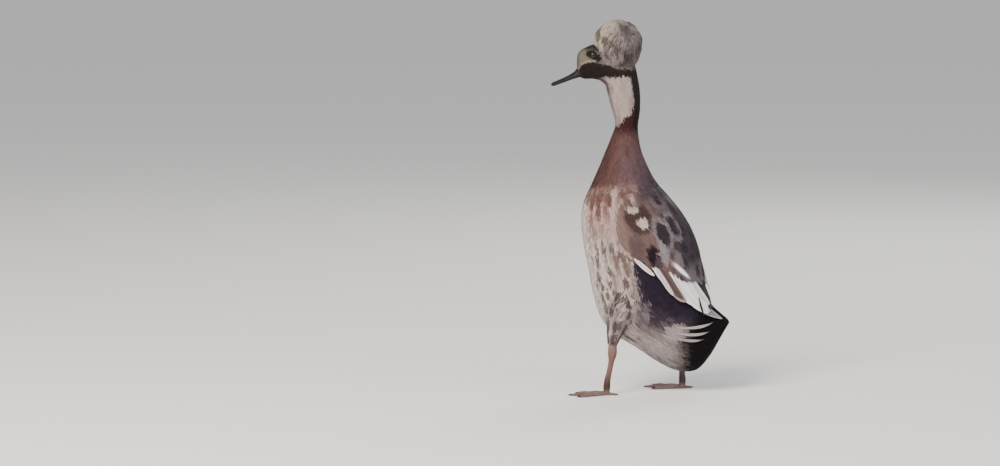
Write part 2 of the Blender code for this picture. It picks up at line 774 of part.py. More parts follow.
def make_leg(name, leg, bodies):
    """The feathered thigh, cut to the trunk, and the bare shank under it."""
    rings = limb(leg["thigh"], 14, 8, level_ends=(False, True))
    top = rings[0].mean(0)
    cap = top + (rings[0] - top) * 0.6 + (top - rings[1].mean(0)) * 0.7
    thigh = loft([cap, *rings])
    cut(thigh, [grown(body) for body in bodies])
    finish(thigh, "thigh_" + name, "plumage_pale")
    shank = loft(limb(leg["shank"], 10, 9, 0.85, (True, True)))
    finish(shank, "shank_" + name, "leg")


def toe_line(leg, toe):
    """Where a toe starts on the floor, its direction and its length, in mm."""
    x, y = leg["shank"][-1][:2]
    turn = math.radians(TOE_SPREAD[toe] + TOES_OUT)
    direction = np.array([-math.cos(turn), leg["side"] * math.sin(turn), 0])
    return np.array([x, y, 0]), direction, TOE_LENGTHS[toe]


def toe_solid(leg, toe):
    """A toe with two knuckles, flat underneath and rounded above."""
    start, direction, length = toe_line(leg, toe)
    sideways = np.array([-direction[1], direction[0], 0])
    short = 0.75 if toe == "hind" else 1.0
    steps = np.linspace(0, 1, len(TOE_HEIGHTS))
    rings = []
    for step, half_width, height in zip(steps, TOE_HALF_WIDTHS, TOE_HEIGHTS):
        across = half_width * short * np.array([-1, -1, -0.55, 0.55, 1, 1])
        above = height * short * np.array([0, 0.55, 1, 1, 0.55, 0])
        ring = start + direction * step * length + across[:, None] * sideways
        ring[:, 2] += above
        rings.append(ring)
    return loft(rings)


def web(leg, toe, other):
    """The thin web between two toes, with a scalloped front edge."""
    start, one, one_length = toe_line(leg, toe)
    _, two, two_length = toe_line(leg, other)
    along = np.linspace(0.06, 0.93, 5)[:, None, None]
    across = np.linspace(0, 1, 5)[None, :, None]
    scallop = 1 - 0.2 * np.sin(math.pi * across)
    tip = (1 - across) * one * one_length + across * two * two_length
    points = start + along * scallop * tip
    top, bottom = points + np.array([0, 0, 1.8]), points + np.array([0, 0, 0.4])
    rings = [np.vstack([top[i], bottom[i][::-1]]) for i in range(len(along))]
    return loft(rings)


def claw(leg, toe):
    """A short claw that bends down in front of a toe."""
    start, direction, length = toe_line(leg, toe)
    sideways = np.array([-direction[1], direction[0], 0])
    angles = 2 * math.pi * np.arange(6) / 6
    scale = 0.75 if toe == "hind" else 1.0
    height, radius, reach = 1.75 * scale, 1.5 * scale, CLAW_LENGTH * scale
    rings = []
    for step, size in ((0, 1), (0.4, 0.85), (0.75, 0.55), (1, 0.16)):
        level = radius * size + 0.1 + (height - radius) * (1 - step)
        middle = start + direction * (length + GAP + step * reach) + np.array([0, 0, level])
        ring = middle + np.outer(np.cos(angles) * radius * size, sideways)
        ring[:, 2] += np.sin(angles) * radius * size
        rings.append(ring)
    return loft(rings)


def make_foot(name, leg):
    """The webbed foot with its four claws."""
    x, y, z = leg["shank"][-1][:3]
    knob = loft(limb(((x, y, z - GAP, 5.5), (x - 0.5, y, 9, 6), (x - 1, y, 0.5, 5.2)), 10, 4, 1, (True, True)))
    toes = [toe_solid(leg, toe) for toe in TOE_LENGTHS]
    webs = [web(leg, "inner", "middle"), web(leg, "middle", "outer")]
    finish(fuse([knob, *toes, *webs]), "foot_" + name, "leg")
    for number, toe in enumerate(TOE_LENGTHS, 1):
        finish(claw(leg, toe), f"claw_{name}_{number}", "claw")


def build():
    """Makes every piece of the bird."""
    bill = make_bill()
    eyes = make_eyes()
    head = make_head(bill, eyes)
    torso = make_neck_and_torso()[1]
    tail_core = make_tail()
    make_crest(head)
    for name, leg in LEGS.items():
        make_wing("wing_" + name, leg["side"])
        make_leg(name, leg, (torso, tail_core))
        make_foot(name, leg)
    discard([head, tail_core])


for old in list(bpy.data.objects):
    bpy.data.objects.remove(old)
PARTS = new_collection("crested_runner_drake")
WORK = new_collection("work_pieces")
build()
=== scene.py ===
# %% [markdown]
# # A crested Indian runner drake, feather by feather
#
# The bird is a still, life-size model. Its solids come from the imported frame, and this lesson
# dresses them: one skin under the plumage, thousands of small vanes over it, tiers of large
# feathers on the wings and the tail, a round crest, and a bill, eyes and legs with their own
# detail. Lengths are worked out in millimetres and written to the meshes in metres. The bird faces
# -X, its left side is at -Y and it stands on the floor at Z = 0.

# %% The frame
import math

import bpy
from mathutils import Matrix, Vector
import numpy as np


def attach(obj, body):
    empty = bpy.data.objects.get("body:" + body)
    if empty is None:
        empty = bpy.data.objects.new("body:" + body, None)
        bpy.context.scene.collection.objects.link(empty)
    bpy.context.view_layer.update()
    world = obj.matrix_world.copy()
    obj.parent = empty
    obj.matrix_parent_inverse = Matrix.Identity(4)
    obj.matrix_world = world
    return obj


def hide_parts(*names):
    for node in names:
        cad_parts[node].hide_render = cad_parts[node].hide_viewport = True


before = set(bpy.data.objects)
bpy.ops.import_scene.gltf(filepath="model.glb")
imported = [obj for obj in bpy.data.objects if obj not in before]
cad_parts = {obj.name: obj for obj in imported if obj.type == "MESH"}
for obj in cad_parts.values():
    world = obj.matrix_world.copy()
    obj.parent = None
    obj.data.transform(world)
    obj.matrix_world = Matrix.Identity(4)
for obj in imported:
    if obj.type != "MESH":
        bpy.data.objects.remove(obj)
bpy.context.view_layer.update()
MM = 0.001
print("solids in the frame:", len(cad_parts))

# %% [markdown]
# ## The shape of the body
#
# A bird's outline is set by its plumage, not by its flesh. The outline is given here as flat
# sections from the base of the bill over the neck to the tip of the tail, and a smooth curve runs
# through them. That makes the whole body one function of two numbers, u along it and v round it,
# so every feather can be placed and bent with it.

# %% Body sections
# One row a section, in mm: x and z on the throat or belly, x and z on the crown or back, half width
BODY_RINGS = np.array([
    (-98, 499, -101.5, 511.5, 7.5), (-89, 496, -99.5, 536, 15), (-78, 496, -84, 547, 20),
    (-67, 494, -67, 552, 23), (-60, 490, -46, 551, 23.5), (-56, 485, -28, 541, 23),
    (-54, 477, -13, 524, 22), (-52, 469, -6, 500, 21), (-49, 458, -2, 473, 20.5),
    (-44, 441, -2, 446, 19), (-41, 423, -5, 423, 18), (-48, 402, -4, 406, 20),
    (-57, 380, 0, 385, 25), (-67, 355, 8, 364, 31), (-79, 328, 19, 342, 38),
    (-90, 302, 36, 318, 46), (-94, 272, 56, 289, 52), (-90, 235, 73, 262, 56),
    (-82, 194, 85, 233, 57), (-74, 154, 92, 204, 56), (-62, 117, 97, 178, 54),
    (-38, 90, 103, 159, 51), (-7, 71, 109, 146, 47), (26, 49, 115, 137, 42),
    (57, 34, 122, 130, 36), (87, 34, 129, 124, 30), (107, 53, 135, 119, 22),
    (123, 80, 139, 115, 14), (136, 103, 141, 111, 6),
], float)
TRUNK = 14          # the section at the root of the neck, where wing and tail places are counted from
TAIL_END = 28       # the last section
SIDE = math.pi / 2  # v on the left side
STEP = 0.01         # the part of a section, and of a radian, over which slopes are measured


def spline(rows, at):
    """Catmull-Rom: a smooth curve through the rows of a table, read at row numbers with a part.

    Between rows b and c, with neighbours a and d and t from 0 to 1, it is
    b + t/2 (c - a + t (2a - 5b + 4c - d + t (3b - a - 3c + d)))."""
    rows = np.asarray(rows, float)
    at = np.clip(np.asarray(at, float), 0, len(rows) - 1)
    i = np.clip(at.astype(int), 0, len(rows) - 2)
    t = (at - i)[..., None]
    a, b = rows[np.maximum(i - 1, 0)], rows[i]
    c, d = rows[i + 1], rows[np.minimum(i + 2, len(rows) - 1)]
    return b + 0.5 * t * (c - a + t * (2 * a - 5 * b + 4 * c - d + t * (3 * b - a - 3 * c + d)))


def body_point(u, v):
    """Points of the outline in mm: an ellipse through belly and back of the section at u.

    v is 0 on the back, a quarter turn on the left side and half a turn on the belly."""
    u, v = np.broadcast_arrays(np.asarray(u, float), np.asarray(v, float))
    ring = spline(BODY_RINGS, u)
    middle = (ring[..., 0:2] + ring[..., 2:4]) / 2
    reach = (ring[..., 2:4] - ring[..., 0:2]) / 2
    x = middle[..., 0] + reach[..., 0] * np.cos(v)
    z = middle[..., 1] + reach[..., 1] * np.cos(v)
    return np.stack([x, -ring[..., 4] * np.sin(v), z], -1)


def unit(vectors):
    """Vectors scaled to length 1."""
    return vectors / np.maximum(np.linalg.norm(vectors, axis=-1, keepdims=True), 1e-9)


def tangents(surface, u, v):
    """How a surface's point moves in mm for a unit step of u and of v, from differences."""
    along = (surface(u + STEP, v) - surface(u - STEP, v)) / (2 * STEP)
    around = (surface(u, v + STEP) - surface(u, v - STEP)) / (2 * STEP)
    return along, around


def skin(u, v, lift=0.0):
    """Points that stand lift mm off the outline, along its outward normal: around x along."""
    along, around = tangents(body_point, u, v)
    return body_point(u, v) + unit(np.cross(around, along)) * np.asarray(lift, float)[..., None]


print("outline from", body_point(0, 0).round(), "to", body_point(TAIL_END, 0).round(), "mm")

# %% [markdown]
# ## Making meshes from arrays
#
# A surface worked out with numpy is a grid of points. The helpers below join the grid's
# neighbours with four-sided faces, put everything into a mesh at once, and hang values such as a
# colour on its points for the materials to read.

# %% Mesh helpers
def grid_faces(rows, columns, wrap=False):
    """Index quadruples over a grid of points, closed on itself sideways when wrap is set."""
    last = columns if wrap else columns - 1
    i, j = np.meshgrid(np.arange(rows - 1), np.arange(last), indexing="ij")
    k = (j + 1) % columns
    corners = [i * columns + j, i * columns + k, (i + 1) * columns + k, (i + 1) * columns + j]
    return np.stack(corners, -1).reshape(-1, 4)


def circle(sides):
    """A row of evenly spaced angles once round."""
    return 2 * np.pi * np.arange(sides)[None, :] / sides


def outwards(points, faces):
    """The faces, turned round if together they enclose a negative volume."""
    volume = 0
    for group in faces:
        corner = np.moveaxis(points[group], 1, 0)
        for k in range(1, len(corner) - 1):
            volume += np.einsum("ij,ij->", corner[0], np.cross(corner[k], corner[k + 1]))
    return faces if volume > 0 else [group[:, ::-1] for group in faces]


def mesh_object(name, points, faces, material, values=None, maps=None, smooth=True, rim=None):
    """A mesh object from points in mm and one or more arrays of faces of three or four corners.

    values are attributes on points: a number or a colour for each. maps are UV maps, given at the
    points and carried to the corners of the faces. Edges between two points of rim are kept sharp."""
    points = np.asarray(points, float).reshape(-1, 3)
    groups = faces if isinstance(faces, (list, tuple)) else [faces]
    corners = np.concatenate([np.full(len(group), group.shape[1]) for group in groups])
    index = np.concatenate([np.asarray(group).ravel() for group in groups]).astype(np.int32)
    mesh = bpy.data.meshes.new(name)
    mesh.vertices.add(len(points))
    mesh.vertices.foreach_set("co", (points * MM).astype(np.float32).ravel())
    mesh.loops.add(len(index))
    mesh.loops.foreach_set("vertex_index", index)
    mesh.polygons.add(len(corners))
    mesh.polygons.foreach_set("loop_start", (np.cumsum(corners) - corners).astype(np.int32))
    mesh.update(calc_edges=True)
    mesh.polygons.foreach_set("use_smooth", np.full(len(mesh.polygons), smooth))
    if rim is not None:
        ends = np.empty(2 * len(mesh.edges), np.int32)
        mesh.edges.foreach_get("vertices", ends)
        mesh.edges.foreach_set("use_edge_sharp", rim[ends].reshape(-1, 2).all(1))
    for label, value in (values or {}).items():
        value = np.asarray(value, np.float32)
        if value.ndim == 2:
            layer = mesh.attributes.new(label, "FLOAT_COLOR", "POINT")
            value = np.hstack([value, np.ones((len(value), 4 - value.shape[1]), np.float32)])
            layer.data.foreach_set("color", value.ravel())
        else:
            layer = mesh.attributes.new(label, "FLOAT", "POINT")
            layer.data.foreach_set("value", value)
    for label, value in (maps or {}).items():
        layer = mesh.uv_layers.new(name=label)
        layer.uv.foreach_set("vector", np.asarray(value, np.float32).reshape(-1, 2)[index].ravel())
    mesh.materials.append(material)
    piece = bpy.data.objects.new(name, mesh)
    bpy.context.scene.collection.objects.link(piece)
    return piece


def settle(piece, slot, *nodes):
    """Ties a piece to the bird and hides the solids that it stands for; the slot is not used."""
    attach(piece, "root")
    if nodes:
        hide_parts(*nodes)
    triangles = sum(len(face.vertices) - 2 for face in piece.data.polygons)
    print(f"{piece.name}: {triangles} triangles")
    return piece


# %% [markdown]
# ## Colours and nodes
#
# Colours are picked as the hex values that a paint program shows, so one function turns them
# into the linear values that the renderer works with. One more adds a shader node together with
# its settings and links, which keeps each material readable as a list of steps.

# %% Colour and node helpers
def linear(code):
    """Linear red, green and blue of an sRGB hex colour."""
    values = np.array([int(code[i:i + 2], 16) / 255 for i in (0, 2, 4)])
    return np.where(values <= 0.04045, values / 12.92, ((values + 0.055) / 1.055) ** 2.4)


def rgba(code):
    """The same as four numbers for a colour socket."""
    return (*linear(code), 1)


def fill(tree, node, inputs):
    """Fills inputs of a node, each under its number or label, with a socket's link or a value."""
    for label, value in inputs.items():
        if isinstance(value, bpy.types.NodeSocket):
            tree.links.new(value, node.inputs[label])
        else:
            node.inputs[label].default_value = value


def add(tree, kind, inputs=(), out=0, **settings):
    """Adds a node with its settings and inputs, in order or under their numbers or labels, and
    gives back the output that is asked for."""
    node = tree.nodes.new("ShaderNode" + kind)
    for label, value in settings.items():
        setattr(node, label, value)
    fill(tree, node, inputs if isinstance(inputs, dict) else dict(enumerate(inputs)))
    return node.outputs[out]


MIX = {"out": 2, "data_type": "RGBA"}                   # a Mix node for colours: inputs 0, 6 and 7
TIMES = {**MIX, "blend_type": "MULTIPLY"}               # the same as a product
SOFT_STEP = {"interpolation_type": "SMOOTHSTEP"}        # a Map Range node that eases in and out


def new_material(name):
    """An empty material with its node tree and its Principled shader."""
    made = bpy.data.materials.new(name)
    made.use_nodes = True
    return made, made.node_tree, made.node_tree.nodes["Principled BSDF"]


# %% [markdown]
# ## One function for every feather
#
# A feather is a thin blade with a shaft down its middle and two soft webs. It could be drawn once
# and copied, but a copy doesn't bend with what it lies on. Here all feathers of a region are
# worked out together, as one array of points with an index for the feather, one along it and one
# across it. Each runs from its root to its tip over the surface below, and its width is laid off
# square to that run. The upper and the lower face share their rim, so each vane is a closed lens.

# %% Feathers over a surface
ROUNDING = 0.11         # how far a vane's edge ends before its middle, as a share of the length
BAKE_PATCH = 0.003      # the width of one feather's patch on the OFBake map
LOOK_LAYERS = ("ground", "mark", "edge", "pattern")     # a feather's twelve numbers, three by three


def flat_step(along, around, move):
    """The (du, dv) whose tangents add up to a move in the surface: two equations in two unknowns."""
    e, f, g = (along * along).sum(-1), (along * around).sum(-1), (around * around).sum(-1)
    a, b = (move * along).sum(-1), (move * around).sum(-1)
    across = np.maximum(e * g - f * f, 1e-9)
    return np.clip((a * g - b * f) / across, -0.9, 0.9), np.clip((b * e - a * f) / across, -0.5, 0.5)


def column(values, count, axes):
    """Values one a feather, shaped to spread over the axes along and across."""
    return np.broadcast_to(np.asarray(values, float), (count,)).reshape((count,) + (1,) * axes)


def web_width(t, quill, full, fall, blunt, power=2):
    """The share of its full width that a vane has at t.

    It is quill + (1 - quill) sin(pi/2 min(t / full, 1)), times 1 - blunt x^power towards the tip,
    with x growing from 0 at t = fall to 1 at t = 1."""
    rise = quill + (1 - quill) * np.sin(np.pi / 2 * np.minimum(t / full, 1))
    return rise * (1 - blunt * np.clip((t - fall) / (1 - fall), 0, 1) ** power)


def vane_grid(rows, columns, crowding=1.25):
    """t from root to tip, closer together towards the tip, and s from one edge to the other."""
    return 1 - (1 - np.arange(rows + 1) / rows) ** crowding, np.linspace(-1, 1, columns + 1)


def closed_vanes(top, normal, thickness, s, t):
    """Vanes with an under side that lies thickness below and shares their rim.

    Returns the points, the faces of one vane turned outwards, and (s, t) of its points."""
    count, rows, columns = top.shape[0], len(t) - 1, len(s) - 1
    under = (top - normal * thickness)[:, 1:-1, 1:-1]
    points = np.concatenate([top.reshape(count, -1, 3), under.reshape(count, -1, 3)], 1)
    place = np.stack(np.broadcast_arrays(s[None, :], t[:, None]), -1)
    place = np.concatenate([place.reshape(-1, 2), place[1:-1, 1:-1].reshape(-1, 2)])
    upper = grid_faces(rows + 1, columns + 1)
    number = np.arange((rows + 1) * (columns + 1)).reshape(rows + 1, columns + 1)
    inner = number.size + np.arange((rows - 1) * (columns - 1)).reshape(rows - 1, columns - 1)
    number = number.copy()
    number[1:-1, 1:-1] = inner
    template = np.vstack([upper, number.ravel()[upper][:, ::-1]])
    a, b, c = points[0, upper[len(upper) // 2, :3]]
    facing = np.broadcast_to(normal, top.shape)[0, rows // 2, columns // 2]
    if np.dot(np.cross(b - a, c - a), facing) < 0:
        template = template[:, ::-1]
    return points, template, place


def lay_vanes(surface, roots, tips, half_width, lifts, draw, rows=5, columns=4, rise=1.7, cup=0.10,
              roll=0.0, blunt=0.6, thickness=0.35, ragged=0.0, sweep=0.0):
    """Vanes from roots to tips, (u, v) pairs on a surface.

    The centre line is root + (tip - root) t, bent aside by sweep sin(pi t), with web_width along
    it. The vane stands off the surface by root lift + (tip lift - root lift)(1 - (1 - t)^rise),
    with its edges lower by cup and one of them raised by roll."""
    count = len(roots)
    t, s = vane_grid(rows, columns)
    path = roots[:, None, :] + (tips - roots)[:, None, :] * t[None, :, None]
    along, around = tangents(surface, path[..., 0], path[..., 1])
    normal = unit(np.cross(around, along))
    step = (tips - roots)[:, None, :]
    run = along * step[..., 0:1] + around * step[..., 1:2]
    length = np.linalg.norm(run, axis=-1).mean(1)[:, None, None]
    run = unit(run)
    side = np.cross(run, normal)
    width = column(half_width, count, 2) * web_width(t, 0.3, 0.5, 0.5, blunt)[None, :, None]
    aside = width * s + column(sweep, count, 2) * np.sin(np.pi * t)[None, :, None]
    back = -ROUNDING * length * (t ** 2)[None, :, None] * (s ** 2)[None, None, :]
    if ragged:
        back = back - ragged * length * (t ** 6)[None, :, None] * draw.random((count, 1, columns + 1))
    move = side[:, :, None, :] * aside[..., None] + run[:, :, None, :] * back[..., None]
    du, dv = flat_step(along[:, :, None, :], around[:, :, None, :], move)
    u, v = path[:, :, None, 0] + du, path[:, :, None, 1] + dv
    root_lift, tip_lift = column(lifts[0], count, 2), column(lifts[1], count, 2)
    lift = root_lift + (tip_lift - root_lift) * (1 - (1 - t[None, :, None]) ** rise)
    lift = lift - cup * width * s ** 2 + column(roll, count, 2) * width * s
    along, around = tangents(surface, u, v)
    normal = unit(np.cross(around, along))
    return closed_vanes(surface(u, v) + normal * lift[..., None], normal, thickness, s, t)


def build_coat(name, parts, material):
    """One object of many vanes. parts holds (points, faces, place, look, unwrapped roots) tuples,
    where look gives colours and amounts a feather and the roots' places lie between 0 and 1."""
    points, faces, vane_map, bake_map, looks, rims, offset = [], [], [], [], [], [], 0
    for vanes, template, place, look, unwrapped in parts:
        count, size = vanes.shape[:2]
        points.append(vanes.reshape(-1, 3))
        faces.append((template[None] + offset + size * np.arange(count)[:, None, None]).reshape(-1, 4))
        vane_map.append(np.tile(place * [0.5, 1] + [0.5, 0], (count, 1)))
        middle = np.clip(unwrapped, BAKE_PATCH, 1 - BAKE_PATCH)[:, None, :]
        bake_map.append((middle + (place * [0.5, 1] - [0, 0.5]) * BAKE_PATCH).reshape(-1, 2))
        looks.append(np.repeat(look, size, axis=0))
        on_rim = (np.abs(place[:, 0]) > 0.999) | (np.abs(place[:, 1] - 0.5) > 0.499)
        rims.append(np.tile(on_rim, count))
        offset += count * size
    values = dict(zip(LOOK_LAYERS, np.split(np.vstack(looks), len(LOOK_LAYERS), axis=1)))
    maps = {"Vane": np.vstack(vane_map), "OFBake": np.vstack(bake_map)}
    return mesh_object(name, np.vstack(points), np.vstack(faces), material, values, maps,
                       rim=np.concatenate(rims))


# %% [markdown]
# ## The markings
#
# Skin and feathers have to agree on where each colour of the plumage begins. So the pattern is a
# function of the place on the body: u along it, and c, the cosine of the angle round it, which is
# 1 on the back, 0 at the widest and -1 on the breast. In a side view c is the share of the way
# across the bird, which makes it easy to read a border off the real animal. Each feather gets a
# ground colour, a mark that may be a streak or a spot, and an edge.

# %% The plumage pattern
def smooth(x, low, high):
    """0 below low and 1 above high, with 3x^2 - 2x^3 between them."""
    x = np.clip((x - low) / (high - low), 0, 1)
    return x * x * (3 - 2 * x)


def blot(u, c, middle, reach):
    """1 inside an oval of the pattern, fading out over its rim."""
    return 1 - smooth(np.hypot((u - middle[0]) / reach[0], (c - middle[1]) / reach[1]), 0.75, 1.15)


# Borders of markings: sections of the body, and c or degrees round from the back there
BAND_TOP = ((0, 2.0, 3.1, 4.7, 5.4, 6.1, 6.7), (0.12, 0.06, -0.08, -0.06, 0.12, 0.5, 1.1))
CHIN_BORDER = ((0, 1.4, 3.2, 5.0, 6.1, 6.8, 7.1), (-1.3, -1.2, -0.84, -0.53, -0.04, 0.6, 1.1))
NECK_BORDER = ((-1, -0.85, -0.08, 0.61, 1), (10.15, 10.07, 9.35, 8.85, 8.6))
WING_OUTLINE = ((4.1, 4.7, 5.9, 6.5, 7.3, 8.2, 9.8, 11), (96, 80, 78, 71, 63, 47, 40, 37))
FLANK_BORDER = ((17, 18.1, 18.9, 19.8, 20.7, 21.8, 22.4, 23),
                (-0.1, -0.21, -0.2, -0.24, -0.49, -0.81, -0.86, -1.2))

# The outline on a fine grid, to count feathers round it and along it
FINE_U = np.linspace(0, TAIL_END, 281)
FINE_V = np.linspace(0, 2 * math.pi, 73)
FINE = body_point(FINE_U[:, None], FINE_V[None, :])
FINE_ROUND = np.linalg.norm(np.diff(FINE, axis=1), axis=-1).sum(1)      # mm round each section
SIDE_STEPS = np.linalg.norm(np.diff(FINE[:, 18], axis=0), axis=-1)      # mm along the left side
FINE_RUN = np.concatenate([[0], np.cumsum(SIDE_STEPS)])


def chance_of(row, number, salt):
    """A fixed random number for each whole row and number, the same wherever it is asked for: the
    decimals of a sine that is blown up."""
    return np.modf(np.abs(np.sin(row * 12.9898 + number * 78.233 + salt * 37.719)) * 43758.5453)[0]


def cells(u, v, length, width):
    """Which large feather of a staggered grid shows at a place: s across it from -1 to 1 and t
    along it, each off its middle by a little, and a chance number that is the feather's own."""
    wave = 0.22 * np.sin(3 * v + 1.3 * u) + 0.18 * np.sin(7 * v - 2.1 * u)
    far = np.interp(u, FINE_U, FINE_RUN) / length + wave
    row = np.floor(far)
    round_mm = np.interp(np.interp((row + 0.5) * length, FINE_RUN, FINE_U), FINE_U, FINE_ROUND)
    count = np.maximum(np.round(round_mm / width), 3)
    turn = (v / (2 * math.pi) % 1) * count + 0.5 * (row % 2)
    number = np.floor(turn)
    own = [chance_of(row, number % count, salt) for salt in range(3)]
    return 2 * (turn - number) - 1 + 0.5 * (own[1] - 0.5), far - row - 0.5 + 0.35 * (own[2] - 0.5), own[0]


def mottle(u, v, size):
    """Slow waves from -1 to 1 over the body, about size sections long, that no two places share."""
    a, b = u / size, 3.2 * v / size
    return (np.sin(2.1 * a + 1.7 * np.sin(1.3 * b)) + np.sin(2.9 * b + 1.9 * np.sin(1.1 * a) + 0.7)
            + np.sin(1.7 * a - 2.3 * b + 2.0)) / 3


def painter(count):
    """An empty look for count feathers and the function that paints it: ground, mark and edge
    colours, then the amounts of edge, streak and spot, twelve numbers a feather."""
    look = np.zeros((count, 12))

    def paint(share, ground, mark=None, edge=None, amounts=None):
        """Turns the look towards new values by share."""
        share = np.clip(np.asarray(share, float), 0, 1)[:, None]
        for place, code in ((0, ground), (3, mark), (6, edge)):
            if code:
                look[:, place:place + 3] += share * (linear(code) - look[:, place:place + 3])
        if amounts is not None:
            look[:, 9:12] += share * (np.array(amounts) - look[:, 9:12])

    return look, paint


# %% [markdown]
# ## The markings of each region
#
# The colours run from the bill to the tail in five regions, and each is painted over the one
# before it, as a bird's own feathers lap over those behind. Every line is one marking: the share
# by which it covers, then its colours. A marking could also be drawn by hand on an image, but a
# formula stays sharp at any distance and lets chance shift each feather a little.

# %% Head and neck
def paint_head(u, c, paint):
    """Olive grey face, dark crown and eye patch, pale line and cheek over dark jaws and chin."""
    over_band = c - np.interp(u, *BAND_TOP)
    paint(np.ones(len(u)), "6b6658", "55503f", "787264", (0.2, 0.3, 0))
    paint(smooth(u, 1.9, 3.0), "706867", "5b5453", "7d7574")
    paint(smooth(c + 0.3 * (u - 2.2), 0.7, 0.86) * smooth(u, 0.6, 1.7), "2b2621", "201c18", "37322b")
    paint(smooth(over_band, -0.03, 0.02) * (1 - smooth(over_band, 0.09, 0.14)) * (1 - smooth(u, 2.0, 3.0)),
          "8d8877", "797463")
    paint(smooth(u, 4.2, 4.8), "6a5f5b", "564c49", "766b66")
    paint(smooth(-over_band, -0.04, 0.04), "221919", "171110", "2e2524", (0.1, 0.1, 0))
    paint(blot(u, c + 0.3 * (u - 2.5), (2.52, 0.4), (0.85, 0.3)), "1a1416", "110d0e", "241d1f")


def paint_neck(u, c, v, paint):
    """Pale upper neck with painted shade in a line down the front of the throat and a black nape, then
    maroon, chestnut and mauve.
    """
    below = smooth(np.interp(u, *CHIN_BORDER) - c, -0.03, 0.06) * smooth(u, 2.9, 3.3)
    paint(below, "a1938e", "83746f", "ab9d98", (0.2, 0.25, 0))
    paint(below * smooth(mottle(u, v, 1.1), 0.1, 0.8), "84746f")
    # Painted shade: a darker line down the front edge of the upper neck
    paint(below * smooth(-c, 0.72, 0.9) * (1 - 0.6 * smooth(u, 6.2, 7.5)), "453739")
    paint(smooth(u, 6.2, 6.8) * smooth(c, 0.46, 0.6), "211c19", "151210", "2a2420", (0.1, 0, 0))
    lower = smooth(u - np.interp(c, *NECK_BORDER), -0.05, 0.1)
    paint(lower, "35191a", "241011", "402324", (0.2, 0.1, 0))
    paint(lower * smooth(c, 0.45, 0.65) * (1 - smooth(u, 10.2, 11.2)), "171110", "0e0a0a")
    chestnut = smooth(u, 10.1, 11.2)
    paint(chestnut, "5c413e", "442c2b", "6c4f4c", (0.2, 0.3, 0))
    paint(chestnut * smooth(-c, 0.35, 0.85), "4b3230")
    side = chestnut * smooth(c, -0.5, 0.2) * smooth(u, 10.6, 13.0)
    paint(side, "604a4d", "443337", "70595d", (0.2, 0.4, 0))
    paint(chestnut * smooth(c, 0.2, 0.8) * smooth(u, 12.3, 14.6), "483a41", "30272d", "5d4f57", (0.3, 0.4, 0))
    paint(chestnut * smooth(mottle(u, v, 0.8), 0.1, 0.8) * 0.6, "3f2a2c")


# %% Breast, belly and flank
def paint_breast(u, c, v, paint):
    """Red-brown streaks on a pale breast, rows of spots on the belly, long soft streaks beside."""
    breast = smooth(u, 14.0, 14.7) * (1 - smooth(c, 0.2, 0.45))
    paint(breast, "baa19b", "8c6e68", "c4aea8", (0.15, 0.3, 0))
    s, t, own = cells(u, v, 25, 14)
    streak = (1 - smooth(np.hypot(s / 0.9, t / 0.66), 0.6, 1.1)) * smooth(own, 0.0, 0.25)
    upper = 1 - smooth(u + 0.5 * smooth(c, -0.7, -0.3), 15.6, 17.3)
    paint(breast * upper * streak, "553331", "432625")
    paint(breast * (1 - smooth(u, 14.7, 15.6)) * smooth(mottle(u, v, 0.7), -0.5, 0.2), "5f3f3c", "4a2e2c")
    paint(breast * smooth(-c, 0.1, 0.6) * smooth(u, 15, 16) * (1 - smooth(u, 16.6, 17.6)) * 0.35, "8c6a64")
    belly = breast * smooth(u, 16.4, 17.4)
    paint(belly, "c6b8b4", "9c8d87", "cec1bd", (0.15, 0.25, 0))
    side = belly * smooth(c, -0.75, -0.5)
    paint(side, "b4a29b", "8b7670", "bcaaa4", (0.15, 0.3, 0))
    s, t, own = cells(u, v, 19, 13)
    size = 1.2 + 0.3 * smooth(u, 18.5, 20)
    spot = (1 - smooth(np.hypot(s / 0.7, t / 0.45) / size, 0.6, 1.05)) * smooth(own, 0.05, 0.3)
    paint(belly * spot * 0.95, "564646", "443737")
    s, t, own = cells(u + 0.4, v, 34, 15)
    long_streak = (1 - smooth(np.hypot(s / 0.5, t / 0.52), 0.6, 1.1)) * smooth(own, 0.25, 0.5)
    paint(side * long_streak * 0.9, "684e48", "54403a")
    paint(smooth(u, 14.6, 15.4) * smooth(-c, 0.85, 0.97), "ccc1bd", "ada19b", "d4cac6", (0.1, 0.2, 0))


# %% Back, rump and rear
def paint_back(u, c, paint):
    """Slate back with paler edges."""
    back = smooth(u, 14.2, 15.0) * smooth(c, 0.2, 0.45)
    paint(back, "41363c", "2a2229", "5d5158", (0.4, 0.4, 0))
    paint(back * smooth(c, 0.55, 0.85), "332a31", "201a22", "50464d", (0.4, 0.3, 0))


